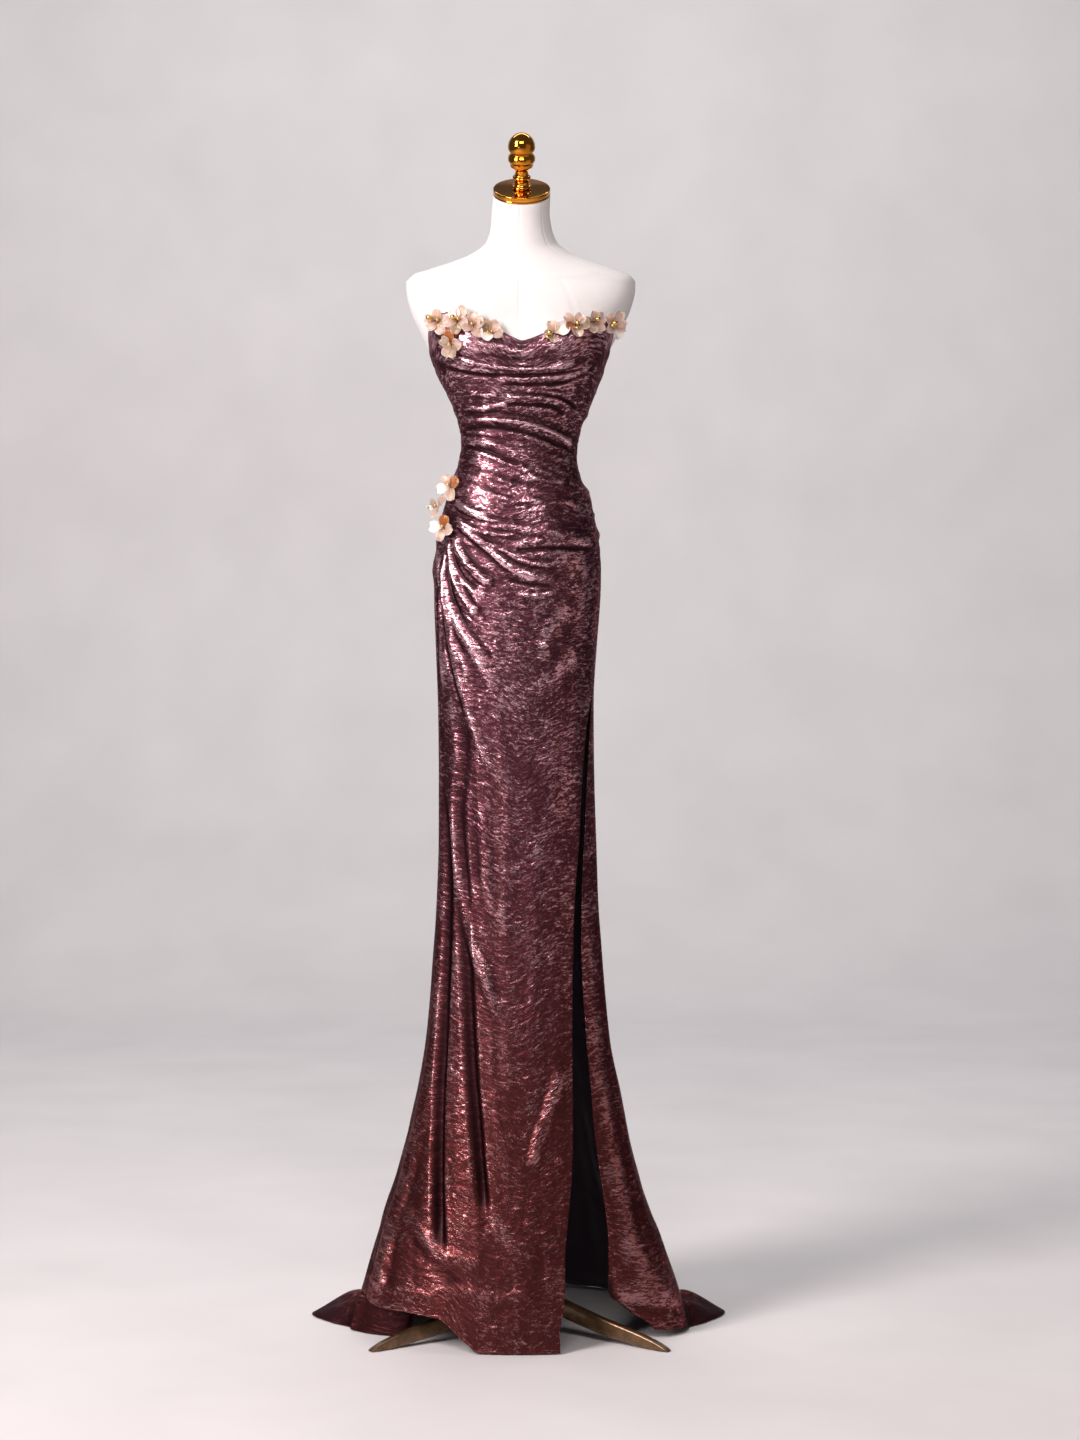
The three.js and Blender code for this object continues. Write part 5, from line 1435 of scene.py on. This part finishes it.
# Beads: direction, distance from the flower's middle, height over the cloth, radius
FLOWERS = (
    Flower("flower_neck_left_1", -128, 1637, petals("ccccc", 21, 10), ((150, 11, 13, 4.6), (38, 4, 8, 3.4)), 0.35),
    Flower("flower_neck_left_2", -97, 1638, petals("cpcoc", 23, 52), ((150, 7, 11, 4.2), (20, 3, 8, 2.8))),
    Flower("flower_neck_left_3", -73, 1631, petals("ccccc", 21, 82), ((0, 0, 9, 3.0),)),
    Flower("flower_neck_left_4", -48, 1622, petals("cocpc", 21, 48), ((250, 4, 9, 3.2), (330, 5, 8, 2.6))),
    Flower("flower_neck_left_5", -105, 1601, petals("aococ", 22, 78), ((60, 2, 9, 3.0),)),
    Flower("flower_neck_right_1", 55, 1618, (
        Petal(34, 16, 25, 25, PetalKind.PEARL), Petal(104, 24, 21, 20, PetalKind.CHAMPAGNE),
        Petal(190, 20, 16, 15, PetalKind.OLIVE), Petal(262, 22, 15, 14, PetalKind.CHAMPAGNE),
    ), ((188, 8, 11, 4.6), (214, 13, 7, 3.6))),
    Flower("flower_neck_right_2", 88, 1632, petals("ccaco", 21, 62), ((30, 1, 9, 3.6), (270, 7, 7, 2.6))),
    Flower("flower_neck_right_3", 117, 1636, petals("ccocc", 21, 28), ((60, 4, 12, 4.2),)),
    Flower("flower_neck_right_4", 147, 1634, petals("cccpc", 22, 70), ((150, 6, 11, 4.6), (190, 8, 9, 3.4)), 0.5),
    Flower("flower_hip_1", -107, 1369, petals("acpc", 22, 20), ((60, 3, 8, 2.8),), 0.9),
    Flower("flower_hip_2", -125, 1337, petals("occ", 21, 160), ((120, 2, 8, 2.6),), 0.9),
    Flower("flower_hip_3", -117, 1305, petals("apcc", 22, 80), ((60, 2, 8, 2.8),), 0.9),
)


def petal_films() -> dict[PetalKind, bpy.types.Material]:
    """The film of each tint."""
    return {
        PetalKind.CHAMPAGNE: PetalFilm("champagne_petal_film", "e6c8b6", "b9793f").build(),
        PetalKind.AMBER: PetalFilm("amber_petal_film", "b8661f", "7e370c", rim="dca06a", clear=0.4).build(),
        PetalKind.PEARL: PetalFilm("pearl_petal_film", "fbf5ee", "e6c8a6", rim="ffffff", clear=0.2,
                                   roughness=0.2).build(),
        PetalKind.OLIVE: PetalFilm("olive_petal_film", "bfa183", "8a6134", rim="e2cdb4").build(),
    }


@dataclass
class Flowers:
    """The petal flowers with their gold beads, each made on the dress where its solid is."""

    shape: DressShape
    film: float = 0.35
    stalk: float = 8.0
    stem: float = 0.7
    films: dict[PetalKind, bpy.types.Material] = field(default_factory=petal_films)
    gold: bpy.types.Material = field(
        default_factory=lambda: Metal("plated_gold_bead", "e9c98c", "cfa25a", 0.08, grain=200.0).build())

    def seat(self, flower: Flower) -> tuple[Array, Array]:
        """The flower's place on the cloth and a turn matrix whose third column is the outward direction."""
        shape = self.shape
        angle, z = shape.on_front(flower.x, flower.z)
        top = float(shape.neckline(angle))
        row = TOP_BLEND + (z - TOP_BLEND) * (TOP_ROW - TOP_BLEND) / (top - TOP_BLEND) if z > TOP_BLEND else z
        angles = np.array([angle, angle + 4, angle - 4, angle, angle])
        rows = np.array([row, row, row, row + 4, row - 10])
        point = shape.point(angles, rows, Panel(np.zeros_like), 0.0)
        outward = unit(np.cross(point[1] - point[2], point[3] - point[4]))
        origin = point[0] + outward * self.stalk * flower.facing
        outward = unit(outward + np.array([0, -flower.facing, 0]))
        side = unit(np.cross([0, 0, 1], outward))
        return origin, np.column_stack([side, np.cross(outward, side), outward])

    def petal(self, petal: Petal) -> tuple[Array, Array, Array]:
        """One petal on a grid: a round outline on a narrow root, cupped across and curled back at the tip.

        Across the petal u runs from -1 to 1 and along it v from 0 to 1. Half the width is a circle's arc in v, the
        height is the lean plus a cup that grows with u squared, less a curl that grows with v cubed.

        Args:
            petal: its size, lean and direction.

        Returns:
            Points of the closed shell, its quads, and the UV of its points with the share of rim.
        """
        u, v = np.meshgrid(np.linspace(-1, 1, 15), np.linspace(0, 1, 17))
        half = petal.width / 2 * np.sqrt(np.clip(1 - (2 * np.clip(v, 0.03, 0.985) - 1.08) ** 2 / 1.17, 0.01, 1))
        half = half * (0.35 + 0.65 * fade(v, 0, 0.35))
        along = petal.length * v
        cup = 0.22 * petal.width * u**2 * (0.4 + 0.6 * v)
        ripple = 0.5 * np.sin(5 * u + petal.turn) * v**2
        lean = math.radians(petal.lean)
        rise = along * math.sin(lean) + cup + ripple - 0.25 * petal.length * v**3
        reach = 1.5 + along * math.cos(lean)
        local = np.stack([reach, half * u, rise + 1.0], axis=-1)
        thick = grid_normals(local) * self.film
        turn = math.radians(petal.turn)
        spin = np.array([[math.cos(turn), -math.sin(turn), 0], [math.sin(turn), math.cos(turn), 0], [0, 0, 1]])
        both = np.concatenate([local.reshape(-1, 3), (local + thick).reshape(-1, 3)]) @ spin.T
        rim = fade(np.maximum(np.abs(u), 2 * v - 1), 0.78, 0.98)
        marks = np.stack([u / 2 + 0.5, v, rim], axis=-1).reshape(-1, 3)
        return both, shell_faces(*u.shape), np.concatenate([marks, marks])

    def bead(self, direction: float, away: float, height: float, radius: float) -> tuple[Array, Array, Array]:
        """A ball with a short stem: rings of a sphere's latitudes, and a thin tube down to the cloth.

        Args:
            direction: where it stands round the flower, in degrees.
            away: distance from the flower's middle.
            height: height of its middle over the cloth.
            radius: the ball's radius.

        Returns:
            Points, quads, and empty marks for its points.
        """
        heading = math.radians(direction)
        latitude = np.linspace(-1.35, 1.5, 12)
        around = np.linspace(0, 2 * math.pi, 16, endpoint=False)
        pin = 0.02
        wide = np.concatenate([[pin, self.stem, self.stem], radius * np.cos(latitude), [pin]])[:, None]
        z = np.concatenate([[0.4, 0.4, height - radius * 0.95], height + radius * np.sin(latitude), [height + radius]])
        along = np.clip(z / height, 0, 1)[:, None]
        points = np.stack([
            away * math.cos(heading) * along + wide * np.cos(around),
            away * math.sin(heading) * along + wide * np.sin(around), z[:, None] + 0 * around,
        ], axis=-1).reshape(-1, 3)
        return points, grid_faces(len(z), len(around), wrap=True, flip=True), np.zeros_like(points)

    def build_one(self, flower: Flower) -> bpy.types.Object:
        """One flower with all its petals and beads, joined in one mesh."""
        origin, turn = self.seat(flower)
        kinds = list(self.films)
        shells = [(*self.petal(petal), kinds.index(petal.kind)) for petal in flower.petals]
        shells += [(*self.bead(*bead), len(kinds)) for bead in flower.beads]
        starts = np.cumsum([0] + [len(points) for points, *_ in shells])
        faces = np.concatenate([quads + start for start, (_, quads, *_) in zip(starts, shells)])
        local, marks = (np.concatenate([shell[i] for shell in shells]) for i in (0, 2))
        piece = make_piece(flower.node.replace("flower", "petals"), origin + local @ turn.T, [faces], "petals",
                           flower.node)
        for material in (*self.films.values(), self.gold):
            piece.data.materials.append(material)
        slots = np.concatenate([np.full(len(quads), index, np.int32) for _, quads, _, index in shells])
        piece.data.polygons.foreach_set("material_index", slots)
        mark(piece.data, "petal", marks[:, :2], rim=marks[:, 2])
        return piece

    def build(self) -> list[bpy.types.Object]:
        """Builds every flower."""
        return [self.build_one(flower) for flower in FLOWERS]


@dataclass
class Studio:
    """A pale floor, soft lights and the camera at the photograph's angle."""

    eye_away: float = EYE_AWAY * MM
    eye_up: float = EYE_UP * MM
    aside: float = 0.0324
    pitch: float = 2.23
    lens: float = 77.2
    half_wide: float = 9.0
    near: float = -7.0
    far: float = 3.4
    bend: float = 1.6
    top: float = 7.0
    room: str = "c9ccd6"
    room_strength: float = 0.16

    def floor(self) -> None:
        """A wide pale floor that rises in a soft curve behind the dress."""
        turn = np.linspace(0, math.pi / 2, 24)
        y = np.concatenate([[self.near], self.far + self.bend * np.sin(turn), [self.far + self.bend]])
        z = np.concatenate([[0.0], self.bend - self.bend * np.cos(turn), [self.top]])
        x = np.array([-self.half_wide, self.half_wide])
        points = np.stack(np.broadcast_arrays(x[None, :], y[:, None], z[:, None]), axis=-1).reshape(-1, 3)
        mesh = bpy.data.meshes.new("studio_floor")
        mesh.from_pydata(points.tolist(), [], grid_faces(len(y), 2, flip=True).tolist())
        mesh.polygons.foreach_set("use_smooth", np.full(len(mesh.polygons), True))
        stage = bpy.data.objects.new("studio_floor", mesh)
        bpy.context.scene.collection.objects.link(stage)
        material, tree, shader = new_material("matt_paper_backdrop")
        grain = add_node(tree, "TexNoise", {"Vector": add_node(tree, "TexCoord").outputs["Object"], "Scale": 3.0})
        tone = add_node(tree, "ValToRGB", {"Fac": grain.outputs[0]}, ((0.3, "dcdadb"), (0.7, "e3e1e2")))
        wire(tree, shader, {"Base Color": tone.outputs[0], "Roughness": 0.7})
        mesh.materials.append(material)

    @staticmethod
    def soft_light(name: str, place: tuple, target: tuple, size: tuple, power: float, colour: str) -> None:
        """A rectangular area light at place that faces target."""
        data = bpy.data.lights.new(name, "AREA")
        data.shape = "RECTANGLE"
        data.size, data.size_y = size
        data.energy = power
        data.color = srgb(colour)[:3]
        light = bpy.data.objects.new(name, data)
        way = np.array(target, float) - np.array(place, float)
        light.location = place
        yaw = math.atan2(way[1], way[0]) - math.pi / 2
        light.rotation_euler = (math.acos(-way[2] / np.linalg.norm(way)), 0, yaw)
        bpy.context.scene.collection.objects.link(light)

    def camera(self) -> None:
        """The camera in front of the pole, a little to the right, looking slightly down."""
        low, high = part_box("stand_pole")
        data = bpy.data.cameras.new("front_camera")
        data.lens = self.lens
        camera = bpy.data.objects.new("front_camera", data)
        camera.location = ((low[0] + high[0]) / 2 + self.aside, (low[1] + high[1]) / 2 - self.eye_away, self.eye_up)
        camera.rotation_euler = (math.radians(90 - self.pitch), 0, 0)
        bpy.context.scene.collection.objects.link(camera)
        bpy.context.scene.camera = camera

    def build(self) -> None:
        """Sets the floor, the camera, the lights and the surroundings."""
        self.floor()
        self.camera()
        for light in LIGHTS:
            self.soft_light(*light)
        world = bpy.data.worlds.new("soft_room")
        world.use_nodes = True
        wire(world.node_tree, world.node_tree.nodes["Background"], {
            "Color": srgb(self.room), "Strength": self.room_strength,
        })
        bpy.context.scene.world = world
        bpy.context.scene.view_settings.view_transform = "Standard"


def main() -> None:
    """Builds the studio, the form and its stand, the dress and the flowers."""
    logging.basicConfig(level=logging.INFO, format="%(name)s: %(message)s")
    Studio().build()
    shape = DressShape()
    DressForm(shape).build()
    Stand().build()
    Dress(shape).build()
    Flowers(shape).build()


if __name__ == "__main__":
    main()
